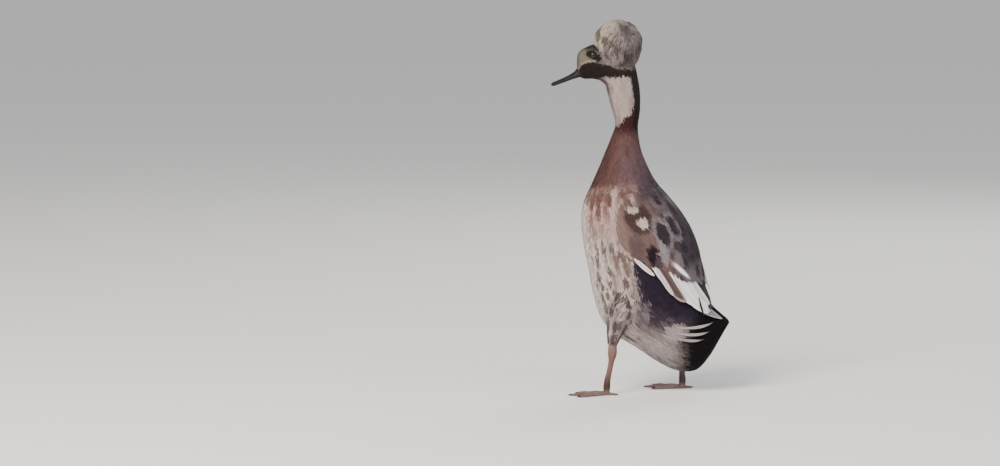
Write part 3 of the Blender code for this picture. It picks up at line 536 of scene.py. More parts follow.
def paint_rear(u, c, v, paint):
    """A pale rim behind the flank, purple black under the wing with painted shade along the wing's edge, a
    grey vent and a black tail.
    """
    border = c - np.interp(u, *FLANK_BORDER)
    behind = smooth(border, -0.02, 0.06) * smooth(u, 17.4, 18.0)
    behind = behind * (1 - smooth(c, 0.5, 0.7) * (1 - smooth(u, 20, 22)))
    rim = smooth(border, -0.12, -0.06) * (1 - smooth(border, -0.02, 0.06)) * smooth(u, 17.8, 18.4)
    paint(rim * 0.85, "8c817c", "73665f", "978d88", (0.1, 0.3, 0))
    paint(behind, "352b35", "231b24", "453a45", (0.2, 0.3, 0))
    under = np.interp(u - TRUNK, *WING_OUTLINE) - np.degrees(np.arccos(np.clip(c, -1, 1)))
    # Painted shade: darker in a band just below the folded wing's edge
    paint(behind * smooth(under, -24, -12), "241b29", "17101c", "2f2534", (0.1, 0.2, 0))
    s, t, own = cells(u, v, 22, 12)
    feather = 1 - smooth(np.hypot(s / 0.8, t / 0.5), 0.5, 1.1)
    paint(behind * smooth(-under, 16, 32) * feather * smooth(own, 0.3, 0.6) * 0.8, "6d6167")
    vent = behind * smooth(-c, 0.1, 0.6) * smooth(u, 20.6, 21.8)
    paint(vent, "a09593", "6b5f62", "aca2a0", (0.2, 0.4, 0))
    paint(vent * feather * smooth(own, 0.4, 0.7) * 0.6, "4a3f45")
    paint(blot(u, c, (22.45, -0.08), (0.65, 0.3)) * 0.9, "a49996", "7a6e70", "aea3a0")
    stripe = blot(u, c + 0.25 * (u - 20.6), (20.6, -0.29), (0.75, 0.13))
    paint(stripe * (0.6 + 0.35 * feather), "786c6f", "5e5357")
    paint(blot(u, c, (21.3, -0.65), (0.5, 0.08)) * 0.7, "b5a7a5")
    paint(blot(u, c, (22.4, -0.75), (0.6, 0.25)) * 0.6, "b7abaa")
    paint(smooth(u + 1.1 * np.maximum(c, -0.95), 22.4, 23.8), "080507", "040304", "0f0b0e", (0.1, 0, 0))


# %% All markings together
def plumage(u, v, draw):
    """The look of the feathers that show at (u, v)."""
    u = np.asarray(u, float) + draw.normal(0, 0.07, np.shape(u))
    v = np.asarray(v, float)
    c = np.cos(v) + draw.normal(0, 0.03, np.shape(u))
    look, paint = painter(len(u))
    paint_head(u, c, paint)
    paint_neck(u, c, v, paint)
    paint_breast(u, c, v, paint)
    paint_back(u, c, paint)
    paint_rear(u, c, v, paint)
    light = draw.normal(0, 0.09, len(u)) + 0.05 * mottle(u, v, 0.6)
    look[:, 0:9] = np.clip(look[:, 0:9] * np.exp(light)[:, None], 0, 1)
    return look


BREAST_LOOK = plumage(np.array([17.0]), np.array([3.0]), np.random.default_rng(1))
print("linear colour of the breast:", BREAST_LOOK[0, :3].round(2))

# %% [markdown]
# ## What plumage is made of
#
# Feathers are keratin, like hair and nails. Body feathers are soft and scatter light, with a
# faint velvet sheen at their edges, while the webs of the flight feathers are zipped flat and
# catch a dull gloss. Both show fine barbs that slope from the shaft to the rim. The material
# reads a feather's own map: s across it from -1 to 1, and t from root to tip.

# %% Feather materials
def feather_material(name, roughness, sheen, barbs, relief):
    """Keratin webs: ground, mark and edge colours placed by s and t, with faint lines of barbs in
    colour and in the surface, as many as barbs on a vane's length."""
    made, tree, shader = new_material(name)
    across = add(tree, "SeparateXYZ", [add(tree, "UVMap", uv_map="Vane")])
    t = across.node.outputs[1]
    s = add(tree, "Math", [across, 2.0, -1.0], operation="MULTIPLY_ADD")
    out = add(tree, "Math", [s], operation="ABSOLUTE")
    ground, mark, edge, pattern = [add(tree, "Attribute", attribute_name=layer) for layer in LOOK_LAYERS]
    edge_share, streak_share, spot_share = add(tree, "SeparateColor", [pattern]).node.outputs[0:3]
    place = add(tree, "TexCoord", out="Object")
    wander = add(tree, "TexNoise", {"Vector": place, "Scale": 420.0, "Detail": 2.0})
    wander = add(tree, "Math", [wander, 0.3, -0.15], operation="MULTIPLY_ADD")

    # How near the tip and the rim: the length of (s, tip), where tip grows over the outer half
    tip = add(tree, "Math", [t, 1.9, -0.9], operation="MULTIPLY_ADD")
    tip = add(tree, "Math", [tip, 0.0], operation="MAXIMUM")
    tip = add(tree, "Math", [tip, tip], operation="MULTIPLY")
    reach = add(tree, "Math", [out, out, tip], operation="MULTIPLY_ADD")
    reach = add(tree, "Math", [add(tree, "Math", [reach], operation="SQRT"), wander])
    rim = add(tree, "MapRange", [reach, 0.72, 0.98], **SOFT_STEP)
    middle = add(tree, "Math", [out, wander])
    streak = add(tree, "MapRange", [middle, 0.46, 0.16], **SOFT_STEP)

    # A spot near the tip: an oval round s = 0, t = 2/3
    wide = add(tree, "Math", [s, 1.25], operation="MULTIPLY")
    wide = add(tree, "Math", [wide, wide], operation="MULTIPLY")
    down = add(tree, "Math", [t, 3.0, -2.0], operation="MULTIPLY_ADD")
    spot = add(tree, "Math", [down, down, wide], operation="MULTIPLY_ADD")
    spot = add(tree, "Math", [add(tree, "Math", [spot], operation="SQRT"), wander])
    spot = add(tree, "MapRange", [spot, 0.95, 0.6], **SOFT_STEP)

    colour = ground
    layers = ((streak, streak_share, mark), (spot, spot_share, mark), (rim, edge_share, edge))
    for area, share, paint in layers:
        amount = add(tree, "Math", [area, share], operation="MULTIPLY")
        colour = add(tree, "Mix", {0: amount, 6: colour, 7: paint}, **MIX)

    # Barbs: waves along t that slope with s, and a smooth shaft
    slope = add(tree, "Math", [out, -0.35, t], operation="MULTIPLY_ADD")
    turns = add(tree, "Math", [slope, 2 * math.pi * barbs], operation="MULTIPLY")
    phase = add(tree, "Math", [wander, 4.0, turns], operation="MULTIPLY_ADD")
    wave = add(tree, "Math", [phase], operation="SINE")
    lines = add(tree, "Math", [wave, 0.5, 0.5], operation="MULTIPLY_ADD")
    shaft = add(tree, "MapRange", [out, 0.10, 0.03], **SOFT_STEP)
    shade = add(tree, "Math", [lines, 0.16, 0.9], operation="MULTIPLY_ADD")
    shade = add(tree, "Math", [shaft, -0.12, shade], operation="MULTIPLY_ADD")
    height = add(tree, "Math", [shaft, 1.5, lines], operation="MULTIPLY_ADD")
    fill(tree, shader, {
        "Base Color": add(tree, "Mix", {0: 1.0, 6: colour, 7: shade}, **TIMES),
        "Normal": add(tree, "Bump", {"Strength": relief, "Distance": 0.0002, "Height": height}),
        "Roughness": roughness, "IOR": 1.54, "Specular IOR Level": 0.12,
        "Sheen Weight": sheen, "Sheen Roughness": 0.5})
    return made


# Roughness, sheen, barbs on a vane and relief: soft and matt on the body, firm with a dull gloss and
# fine barbs on wings and tail, loose and velvety on the crest
SOFT_KERATIN = feather_material("soft_body_feather_keratin", 0.8, 0.04, 15, 0.35)
VANE_KERATIN = feather_material("zipped_flight_feather_keratin", 0.55, 0.04, 34, 0.5)
DOWN_KERATIN = feather_material("loose_crest_feather_keratin", 0.85, 0.1, 7, 0.4)
print("feather materials:", SOFT_KERATIN.name, VANE_KERATIN.name, DOWN_KERATIN.name)

# %% [markdown]
# ## The skin under the coat
#
# Between feathers one looks onto their lower parts and the skin. A single closed surface a few
# millimetres inside the outline stands for both. It is one piece from the bill to the tail, so no
# seam shows where the solids are parted, and it carries the colours of the feathers over it,
# darkened as painted shade.

# %% The skin
COAT_DEPTH = ((0, 3, 7, 12, 16, 24, 28), (0.9, 1.1, 1.4, 1.8, 2.3, 2.3, 1.6))   # mm at sections


def coat_depth(u):
    """How far the skin lies inside the outline."""
    return np.interp(u, *COAT_DEPTH)


def closed_tube(rings):
    """A grid of rings as one closed body: points, four-sided faces, and a fan over each end."""
    rows, sides = rings.shape[:2]
    points = np.vstack([rings.reshape(-1, 3), rings[0].mean(0), rings[-1].mean(0)])
    j = np.arange(sides)
    k = (j + 1) % sides
    last = (rows - 1) * sides
    front = np.stack([np.full(sides, rows * sides), k, j], -1)
    rear = np.stack([np.full(sides, rows * sides + 1), last + j, last + k], -1)
    return points, [grid_faces(rows, sides, wrap=True), np.vstack([front, rear])]


def skin_material():
    """Skin and the down on it, seen between feathers: matt, in the colours of the plumage."""
    made, tree, shader = new_material("downy_skin")
    place = add(tree, "TexCoord", out="Object")
    fine = add(tree, "TexNoise", {"Vector": place, "Scale": 900.0, "Detail": 3.0})
    shade = add(tree, "Math", [fine, 0.5, 0.5], operation="MULTIPLY_ADD")
    ground = add(tree, "Attribute", attribute_name="ground")
    fill(tree, shader, {
        "Base Color": add(tree, "Mix", {0: 1.0, 6: ground, 7: shade}, **TIMES),
        "Normal": add(tree, "Bump", {"Strength": 0.4, "Distance": 0.0004, "Height": fine}),
        "Roughness": 0.9, "Sheen Weight": 0.1})
    return made


SKIN_MATERIAL = skin_material()
SKIN_SHADE = 0.7        # the skin against the feathers over it, which keep light from it


def skin_piece(name, rings, u, v, look_at, *nodes):
    """A closed skin over rings of points at (u, v), coloured by the look of the feathers there, darkened by
    SKIN_SHADE as painted shade under them.
    """
    points, faces = closed_tube(rings)
    flat_u, flat_v = (value.ravel() for value in np.broadcast_arrays(u, v))
    ground = look_at(flat_u, flat_v)[:, 0:3] * SKIN_SHADE
    ground = np.vstack([ground, ground[0], ground[-1]])
    piece = mesh_object(name, points, faces, SKIN_MATERIAL, {"ground": ground})
    return settle(piece, "body_feathers", *nodes)


SKIN_ROWS, SKIN_SIDES = 225, 96
u = np.linspace(0.02, TAIL_END - 0.9, SKIN_ROWS)[:, None]
v = circle(SKIN_SIDES)
rings = skin(u, v, np.broadcast_to(-coat_depth(u), (SKIN_ROWS, SKIN_SIDES)))
skin_piece("skin", rings, u, v, lambda u, v: plumage(u, v, np.random.default_rng(3)), "head", "neck", "torso")

# %% [markdown]
# ## Laying the body feathers
#
# On a real bird the body feathers grow in staggered rows and get longer from the face to the
# rump. Rows are set along u so that neighbouring ones lie a feather's exposed length apart, and
# inside a row the roots are spaced evenly round the section. A little chance in place, length and
# direction keeps the rows from looking printed.

# %% Staggered rows of roots
STEP_PLACES = (0, 1.5, 3, 5, 7, 10, 13, 14.5, 16, 18, 22, 25, 28)
ROW_STEP = (STEP_PLACES, (1.3, 1.4, 1.6, 1.9, 2.4, 3.0, 3.4, 3.6, 3.7, 3.8, 3.8, 3.6, 3.4))
ROUND_STEP = (STEP_PLACES, (1.0, 1.05, 1.15, 1.4, 1.7, 1.8, 1.9, 1.9, 1.95, 2.0, 2.0, 2.0, 2.0))
DISORDER = 0.28         # how far a root strays from its place, as a share of the step
SECTION_RUN = 30        # mm between two sections, about
LENGTH_FACTOR, WIDTH_FACTOR = 4.0, 0.85     # a feather's length in row steps, half its width in round steps
ROOT_DEPTH = 0.8        # how deep a root sits, as a share of the coat's depth
SHOWN_AT = 0.75         # the part of a feather, from its root, that is seen between its neighbours
LOCK = {"rows": 4, "columns": 2, "rise": 1.2, "cup": 0.02, "blunt": 0.95, "thickness": 0.15}


def staggered(surface, u_from, u_to, draw, row_step=ROW_STEP, round_step=ROUND_STEP, span=(0, 2 * math.pi)):
    """Roots (u, v) in rows. Rows divide the length along the sides by row_step, roots divide each
    row by round_step, and every other row is shifted by half a place."""
    fine = np.linspace(u_from, u_to, 800)
    round_v = np.linspace(*span, 361)
    along, _ = tangents(surface, fine, np.full(len(fine), SIDE))
    rows = np.cumsum(np.linalg.norm(along, axis=-1) / np.interp(fine, *row_step)) * (fine[1] - fine[0])
    found = []
    for number, row_u in enumerate(np.interp(np.arange(0.5, rows[-1]), rows, fine)):
        _, around = tangents(surface, np.full(len(round_v), row_u), round_v)
        run = np.concatenate([[0], np.cumsum(np.linalg.norm(around[1:] + around[:-1], axis=-1) / 2)])
        run *= round_v[1] - round_v[0]
        count = max(round(run[-1] / float(np.interp(row_u, *round_step))), 3)
        places = (np.arange(count) + (0.5 if number % 2 else 0)) / count * run[-1]
        places = places + draw.normal(0, DISORDER, count) * run[-1] / count
        row = np.stack([np.full(count, row_u), np.interp(places, run, round_v)], -1)
        row[:, 0] += draw.normal(0, DISORDER, count) * float(np.interp(row_u, *row_step)) / SECTION_RUN
        found.append(row)
    return np.vstack(found)


def body_feathers(roots, draw, **shape):
    """Body feathers from their roots, pointing down the body and turned aside by a few degrees.

    Length and width follow the row and round steps, so each covers the roots of the next rows."""
    u, v = roots[:, 0], roots[:, 1]
    along, around = tangents(body_point, u, v)
    beside = np.linalg.norm(tangents(body_point, u, np.full(len(u), SIDE))[0], axis=-1)
    stretch = np.clip(np.linalg.norm(along, axis=-1) / beside, 0.75, 1.5)
    length = LENGTH_FACTOR * np.interp(u, *ROW_STEP) * stretch * draw.normal(1, 0.13, len(u))
    length *= np.interp(u, (0, 0.7), (0.45, 1))
    half_width = WIDTH_FACTOR * np.interp(u, *ROUND_STEP) * draw.normal(1, 0.06, len(u))
    down = unit(along)
    sideways = unit(around - down * (around * down).sum(-1, keepdims=True))
    angle = draw.normal(0, 0.13, len(u))[:, None]
    du, dv = flat_step(along, around, (down * np.cos(angle) + sideways * np.sin(angle)) * length[:, None])
    tips = roots + np.stack([np.minimum(du, 1.7 * length / beside), dv], -1)
    lifts = (-coat_depth(u) * ROOT_DEPTH, draw.uniform(-0.12, 0.12, len(u)))
    return tips, lay_vanes(body_point, roots, tips, half_width, lifts, draw, **{**LOCK, **shape})


def unwrapped(roots, u_from, u_to):
    """A root's place on a flat map of its own length of the body."""
    return np.stack([(roots[:, 0] - u_from) / (u_to - u_from), roots[:, 1] / (2 * math.pi) % 1], -1)


def body_coat(name, slot, u_from, u_to, seed, keep=None, **shape):
    """The coat of one length of the body as a piece. keep(u, v) says which roots grow a feather."""
    draw = np.random.default_rng(seed)
    roots = staggered(body_point, u_from, u_to, draw)
    if keep is not None:
        roots = roots[keep(roots[:, 0], roots[:, 1])]
    tips, (vanes, template, place) = body_feathers(roots, draw, **shape)
    shown = roots + SHOWN_AT * (tips - roots)
    look = plumage(shown[:, 0], shown[:, 1], draw)
    piece = build_coat(name, [(vanes, template, place, look, unwrapped(roots, u_from, u_to))], SOFT_KERATIN)
    print(name, len(roots), "feathers")
    return settle(piece, slot)


# %% The coat of the body
EYE = np.array([-76, 14.7, 533])    # mm, middle of the right eyeball; the left one mirrors it
EYE_GAP = 6.6                       # mm from there to the nearest root of a feather
# Where a wing hides the body: section of the trunk, degrees from the top of the back and downwards
WING_COVER_TOP, WING_COVER = 24, ((3.2, 4, 5, 6, 7, 8.3), (92, 80, 70, 55, 38, 30))


def off_face(u, v):
    """Roots that keep clear of the eyes and of the base of the bill."""
    gap = np.linalg.norm(np.abs(body_point(u, v)) - np.abs(EYE), axis=-1)
    return (gap > EYE_GAP) & (u > 0.02)


def off_wing(u, v):
    """Roots that no wing covers. Degrees count from the back, the same on both sides."""
    ring, turn = u - TRUNK, np.degrees(v) % 360
    turn = np.minimum(turn, 360 - turn)
    return ~((ring > WING_COVER[0][0]) & (ring < WING_COVER[0][-1]) & (turn > WING_COVER_TOP)
             & (turn < np.interp(ring, *WING_COVER)))


body_coat("coat_head", "head_feathers", 0, 7.2, 11, off_face, rows=3, blunt=0.97)
body_coat("coat_neck", "neck_feathers", 7, 14.2, 12)
for number, (u_from, u_to) in enumerate(((14, 16.9), (16.8, 19.3), (19.2, 21.7), (21.6, 24.3)), 1):
    body_coat(f"coat_body_{number}", "body_feathers", u_from, u_to, 12 + number, off_wing)

# %% [markdown]
# ## The wings
#
# A folded wing shows its feathers in tiers: the tips of the primaries lie lowest, then the long
# secondaries, and the tertials on top along the back. A tier is a row of feathers whose roots and
# tips run along two lines on the trunk. Rows of small coverts lie over their roots, on a surface
# of their own that stands a little off the body, and a few feathers stand out one by one.

# %% Wing tiers
def on_trunk(places):
    """(section of the trunk, degrees round from the back) as (u, v)."""
    places = np.asarray(places, float)
    return np.stack([TRUNK + places[..., 0], np.radians(places[..., 1])], -1)


def tier(count, root_line, tip_line, draw, scatter=0.012):
    """Roots and tips of a row of feathers, evenly spaced along two smooth lines."""
    share = np.linspace(0, 1, count)
    roots, tips = (on_trunk(spline(line, share * (len(line) - 1))) for line in (root_line, tip_line))
    return roots, tips + (tips - roots) * draw.normal(0, scatter, (count, 1))


# Tiers from the tail forwards: count, line of roots, line of tips, half width in mm, lift in mm at
# root and tip, colours of ground, mark and edge, and the amounts of edge, streak and spot
WING_TIERS = {
    "primaries": (8, [(6.0, 50), (6.2, 34)], [(9.4, 38.5), (11.2, 31)], 5.0, (0.6, 3.0),
                  ("8b8186", "564a50", "b9b1b3"), (0.7, 0.4, 0)),
    "secondaries": (11, [(3.8, 84), (4.8, 44)], [(5.9, 62), (7.0, 50), (8.9, 35)], 7.4, (1.2, 4.6),
                    ("dcd6d6", "b9acac", "e6e1e1"), (1.0, 0.2, 0)),
    "tertials": (6, [(4.0, 48), (4.2, 14)], [(8.0, 37), (8.9, 27), (7.8, 13)], 8.0, (1.2, 4.9),
                 ("2f262d", "1e171e", "554a51"), (0.6, 0.4, 0)),
}

# Single feathers that stand out on the wing: root, tip, half width, lift at root and tip, colours
# of ground, mark and edge, and the amounts of edge, streak and spot
WING_ACCENTS = (
    ((3.75, 99), (4.72, 82), 3.4, (1.0, 5.2), ("cfc9c6", "a79d9a", "dcd8d6"), (0.5, 0.4, 0)),
    ((4.2, 80), (6.0, 67), 3.6, (3.0, 5.6), ("d2ccca", "ada3a0", "e0dbda"), (0.5, 0.3, 0)),
    ((4.2, 75), (6.7, 57), 8.0, (3.4, 5.9), ("5e4b49", "4a3938", "a89a96"), (0.8, 0.7, 0)),
    ((4.3, 66), (7.3, 49), 7.0, (3.6, 6.2), ("efebeb", "a99c9c", "f4f2f2"), (0.5, 0.4, 0)),
    ((4.6, 58), (8.0, 43), 8.0, (3.8, 6.5), ("f8f7f7", "cfc6c6", "faf9f9"), (0.5, 0.35, 0)),
    ((4.8, 50), (8.4, 36), 8.0, (4.2, 6.9), ("f6f4f4", "cbc1c1", "f9f8f8"), (0.5, 0.35, 0)),
    ((5.0, 42), (8.1, 29), 7.5, (4.6, 7.3), ("e6e0df", "b0a4a4", "f4f1f1"), (0.7, 0.5, 0)),
    ((5.4, 56), (8.8, 41), 6.0, (5.0, 7.2), ("f4f2f2", "c4baba", "f7f5f5"), (0.5, 0.35, 0)),
    ((6.85, 38.5), (8.65, 51), 1.8, (6.9, 8.1), ("2b2228", "1f181d", "3b3138"), (0.4, 0.3, 0)),
    ((3.7, 70), (5.5, 43), 4.6, (1.5, 7.9), ("83736f", "fbf8f6", "a4968f"), (0.5, 0, 1.0)),
    ((4.9, 8), (7.0, 8), 2.0, (6.4, 8.6), ("9d9496", "7b7174", "c6bebe"), (0.6, 0.4, 0)),
)


# Where the coverts begin and end, and how far apart they stand: sections of the trunk and mm
COVERTS_FROM, COVERTS_TO = TRUNK + 0.5, TRUNK + 6.0
COVERT_ROWS = {"row_step": ((14, 17, 20), (2.6, 3.2, 3.6)), "round_step": ((14, 17, 20), (2.1, 2.4, 2.6)),
               "span": (math.radians(7), math.radians(112))}
COVERT_WIDTH = ((15, 17), (1.6, 2.2))       # section of the body, half width in mm
COVERT_REACH, COVERT_SLOPE = 0.46, -3       # sections along and degrees up from root to tip
COVERTS_END = ((0, 18, 33, 49, 60, 75, 90), (7.6, 6.8, 5.9, 5.6, 5.3, 4.8, 4.2))    # degrees, section
WING_EDGE = ((0.8, 1.4, 2.2, 2.8, 3.4, 3.8, 4.1, 4.7, 5.3), (90, 104, 110, 111, 106, 102, 96, 82, 72))


def wing_edge(ring):
    """Degrees round from the back where the folded wing's lower edge lies at a section."""
    return np.interp(ring, *WING_EDGE)


def wing_point(u, v):
    """The surface of the wing's coverts, which lies over the body and runs out at its edges. It is
    4.6 mm deep, and deeper by up to 2.4 mm over the tertials along the back."""
    ring, turn = u - TRUNK, np.degrees(v)
    tertials = (1 - smooth(turn, 44, 60)) * (0.3 + 0.7 * smooth(turn, 4, 16))
    depth = (4.6 + 2.4 * tertials) * smooth(ring, 0.3, 2.4)
    return skin(u, v, depth * smooth(wing_edge(ring) + 5 - turn, 0, 24))


# Ovals of colour on the coverts: middle and reach in sections and degrees, then the colours
WING_PATCHES = (
    ((2.05, 80), (0.85, 17), "3d2a29", "2c1d1d", "4b3636"),
    ((1.64, 83), (0.16, 8.5), "aca394", "948b7c", "b4ab9c"),
    ((2.36, 77.5), (0.27, 6.3), "b8afa1", "a09789", "c0b7a9"),
    ((3.4, 92), (0.6, 8), "574244", "423134"),
    ((3.8, 104), (0.35, 4), "aa9992", "8f7f79"),
    ((3.92, 77), (0.52, 7), "160b13", "0d070b", "23171f"),
    ((4.35, 74), (0.4, 5), "4a3c41", "33282d"),
    ((3.0, 60), (0.9, 10.5), "7b7074", "665b60", "8b8084"),
    ((3.0, 60), (0.68, 7.5), "2b222a", "1a141b", "3d333b"),
    ((2.75, 44), (0.85, 8.5), "6f656a", "5a5056", "7f7579"),
    ((2.75, 44), (0.6, 5.5), "2b222a", "1a141b", "3d333b"),
    ((3.9, 66), (0.6, 4.5), "857b7d", "70676a", "918789"),
    ((4.5, 52), (0.6, 6), "675e5f", "554c4e", "736a6b"),
)


def wing_pattern(ring, turn, draw):
    """The look of the wing coverts at a section and at degrees round from the back."""
    ring = ring + draw.normal(0, 0.03, len(ring))
    turn = turn + draw.normal(0, 0.6, len(ring))
    look, paint = painter(len(ring))
    shoulder = plumage(TRUNK + ring, np.radians(turn), draw)
    paint(np.ones(len(ring)), "68534f", "4e3b3a", "74605e", (0.3, 0.35, 0))
    paint(smooth(turn, 88, 100), "77605b", "5d4844", "826c67")
    paint((1 - smooth(ring, 1.0, 1.7)) * (1 - smooth(turn, 60, 75)), "6a5554", "4f3e3e", "786361")
    back = 1 - smooth(turn, 50, 64)
    paint(back, "2e252c", "1f181e", "40363d", (0.3, 0.3, 0))
    paint(back * (1 - smooth(ring, 1.3, 2.4)), "6d5c5e", "514345", "7b6a6c")
    paint(back * smooth(ring, 4.4, 5.4), "6a6165", "534a4f", "786f73")
    s, t, own = cells(TRUNK + ring, np.radians(turn) * 0.9 + 0.1, 30, 15)
    core = 1 - smooth(np.hypot(s / 0.85, t / 0.5), 0.6, 1.0)
    paint(back * core * smooth(own, 0.1, 0.3), "2a222a", "1b151c", "3a3038")
    paint(back * (1 - core) * smooth(ring, 1.2, 2.2) * 0.18, "62575d", "4e434a", "6e6369")
    paint(0.6 * back * smooth(16 - turn, 0, 9), "2c242c", "1d171e", "3b3139")
    for middle, reach, *colours in WING_PATCHES:
        paint(blot(ring, turn, middle, reach), *colours)
    look[:, 0:9] = np.clip(look[:, 0:9] * np.exp(draw.normal(0, 0.08, (len(ring), 1))), 0, 1)
    share = smooth(ring + 0.3 * mottle(ring, np.radians(turn), 0.5), 0.9, 1.6)[:, None]
    return shoulder + share * (look - shoulder)


def mirrored(points, template):
    """The same vanes on the right side, with their faces turned back outwards."""
    return points * [1, -1, 1], template[:, ::-1]


def tier_look(count, colours, amounts, draw):
    """Twelve numbers a feather from three hex colours and three amounts, varied a little."""
    look = np.tile(np.concatenate([linear(code) for code in colours] + [amounts]), (count, 1))
    look[:, 0:9] *= np.exp(draw.normal(0, 0.08, (count, 1)))
    return np.clip(look, 0, 1)


def coverts(draw):
    """Roots, tips and looks of the coverts, in staggered rows inside the edge of the wing."""
    roots = staggered(body_point, COVERTS_FROM, COVERTS_TO, draw, **COVERT_ROWS)
    roots = roots[np.degrees(roots[:, 1]) < wing_edge(roots[:, 0] - TRUNK) - 1]
    reach = draw.normal(COVERT_REACH, 0.05, len(roots))
    tips = roots + np.stack([reach, np.radians(draw.normal(COVERT_SLOPE, 1.5, len(roots)))], -1)
    ring, turn = tips[:, 0] - TRUNK, np.degrees(tips[:, 1])
    inside = (ring < np.interp(turn, *COVERTS_END)) & (turn < wing_edge(ring) + 1)
    return roots[inside], tips[inside], wing_pattern(ring[inside] - 0.1, turn[inside], draw)


def wing(name, node, right, seed):
    """One wing as one piece: its tiers, the coverts over them and the feathers that stand out."""
    draw = np.random.default_rng(seed)
    parts = []

    def place_row(roots, tips, half_width, lifts, look, surface=body_point, rows=12, columns=8, **shape):
        """Adds a row of vanes, turned to the right side where that is asked for."""
        vanes, template, place = lay_vanes(surface, roots, tips, half_width, lifts, draw,
                                           rows, columns, **shape)
        if right:
            vanes, template = mirrored(vanes, template)
        spread = np.stack([(roots[:, 0] - TRUNK) / 8, roots[:, 1] / 2.2], -1)
        parts.append((vanes, template, place, look, spread))

    for count, root_line, tip_line, half_width, lifts, colours, amounts in WING_TIERS.values():
        roots, tips = tier(count, root_line, tip_line, draw)
        look = tier_look(count, colours, amounts, draw)
        place_row(roots, tips, half_width, lifts, look, rise=1.9, cup=0.04, roll=0.08, blunt=0.5)
    roots, tips, look = coverts(draw)
    place_row(roots, tips, np.interp(roots[:, 0], *COVERT_WIDTH), (-1.4, 0.3), look, surface=wing_point,
              rows=5, columns=2, rise=1.5, cup=0.03, blunt=0.93)
    for root, tip, half_width, lifts, colours, amounts in WING_ACCENTS:
        look = tier_look(1, colours, amounts, draw)
        place_row(on_trunk([root]), on_trunk([tip]), half_width, lifts, look, rise=1.6, cup=0.05, blunt=0.35)
    return settle(build_coat(name, parts, VANE_KERATIN), "wing_feathers", node)


wing("wing_feathers_left", "wing_left", False, 21)
wing("wing_feathers_right", "wing_right", True, 22)

# %% [markdown]
# ## The tail
#
# A duck's short tail is a shallow roof: the middle pair of feathers lies on top, and each further
# out is lower, steeper and shorter. Above and below, tail coverts wrap the fleshy root, so from
# the side the rear end is one rounded wedge.

# %% Tail feathers
def straight_vanes(roots, tips, across, half_width, rows=10, columns=6, bow=0.6, blunt=0.45, thickness=0.4):
    """Vanes in the air from roots to tips in mm, (count, 3), with their widths along across.

    Each point is root + (tip - root) t + across half_width web_width(t) s, bowed out by
    bow sin(pi t)."""
    t, s = vane_grid(rows, columns)
    share = web_width(t, 0.5, 0.6, 0.55, blunt, 2.4)[:, None]
    run = tips - roots
    across = unit(across - unit(run) * (across * unit(run)).sum(-1, keepdims=True))
    normal = np.cross(across, unit(run))
    normal *= np.sign(normal[:, 2:3])
    roots, run, across, normal = (vectors[:, None, None, :] for vectors in (roots, run, across, normal))
    along = t[:, None] * (1 - 0.10 * t[:, None] * s ** 2)
    lift = bow * np.sin(np.pi * t)[:, None] - 0.08 * half_width * share * s ** 2
    points = roots + run * along[..., None] + across * (half_width * share * s)[..., None]
    return closed_vanes(points + normal * lift[..., None], normal, thickness, s, t)


TAIL_FEATHERS = 8       # on each side
TAIL_TIP, TAIL_TIP_REACH = np.array([140.0, 2.5, 111]), np.array([-44, 31, -24])    # mm
TAIL_ROOT, TAIL_ROOT_REACH = np.array([97, 2, 103]), np.array([-18, 22, -11])       # mm
TAIL_LOOK = ("191218", "0e090d", "2a2128"), (0.4, 0.3, 0)
TAIL_HALF_WIDTH = 7.0   # mm


def tail_fan():
    """The roof of tail feathers on both sides, the middle pair last and so on top."""
    share = np.linspace(1, 0, TAIL_FEATHERS)[:, None]      # 1 for the outermost, 0 for the middle one
    spread = np.hstack([share ** 1.7, share ** 0.85, share ** 2])
    tips, roots = TAIL_TIP + spread * TAIL_TIP_REACH, TAIL_ROOT + spread * TAIL_ROOT_REACH
    slope = np.radians(10 + 56 * share[:, 0] - 12)
    across = np.stack([np.zeros(TAIL_FEATHERS), np.cos(slope), -np.sin(slope)], -1)
    parts = []
    for side in (1, -1):
        turn = np.array([1, side, 1])
        vanes = straight_vanes(roots * turn, tips * turn, across * turn, TAIL_HALF_WIDTH)
        look = tier_look(TAIL_FEATHERS, *TAIL_LOOK, np.random.default_rng(5))
        spots = np.stack([0.2 + 0.3 * share[:, 0], np.full(TAIL_FEATHERS, 0.5 + 0.2 * side)], -1)
        parts.append((*vanes, look, spots))
    return parts


# Three pale-edged outer tail feathers on each side: root and tip, on the trunk
PALE_BARS = (((8.1, 88), (10.25, 45)), ((8.3, 95.5), (10.4, 64)), ((8.5, 101.5), (10.3, 80)))
PALE_LOOK = ("b9aea9", "6f6462", "3a3036"), (0.8, 0.5, 0)


def pale_bars():
    """The pale feathers that show between the black coverts of the tail's sides."""
    draw = np.random.default_rng(31)
    roots, tips = on_trunk([bar[0] for bar in PALE_BARS]), on_trunk([bar[1] for bar in PALE_BARS])
    vanes, template, place = lay_vanes(body_point, roots, tips, 2.4, (0.6, 1.9), draw, rows=12, columns=6,
                                       rise=1.2, cup=0.06, blunt=0.8, sweep=0.6, ragged=0.06)
    look = tier_look(len(roots), *PALE_LOOK, draw)
    turned = mirrored(vanes, template)
    spots = np.array([(0.1, 0.9), (0.2, 0.9), (0.3, 0.9)])
    return [(vanes, template, place, look, spots), (*turned, place, look, spots + [0.5, 0])]


settle(build_coat("tail_feathers", tail_fan() + pale_bars(), VANE_KERATIN), "tail_feathers", "tail")
body_coat("coat_tail", "tail_feathers", 24.2, 27.4, 15)

# %% [markdown]
# ## The crest
#
# The round crest is a ball of loose feathers on a pad of down on the back of the crown. Each
# leaves the pad, rises to near the ball's surface and lies along it. Their tips are spread by the
# golden angle, as seeds are in a sunflower, which fills a ball evenly without rows. Waves over the
# ball make some stand higher and swing aside together, so that they form locks.

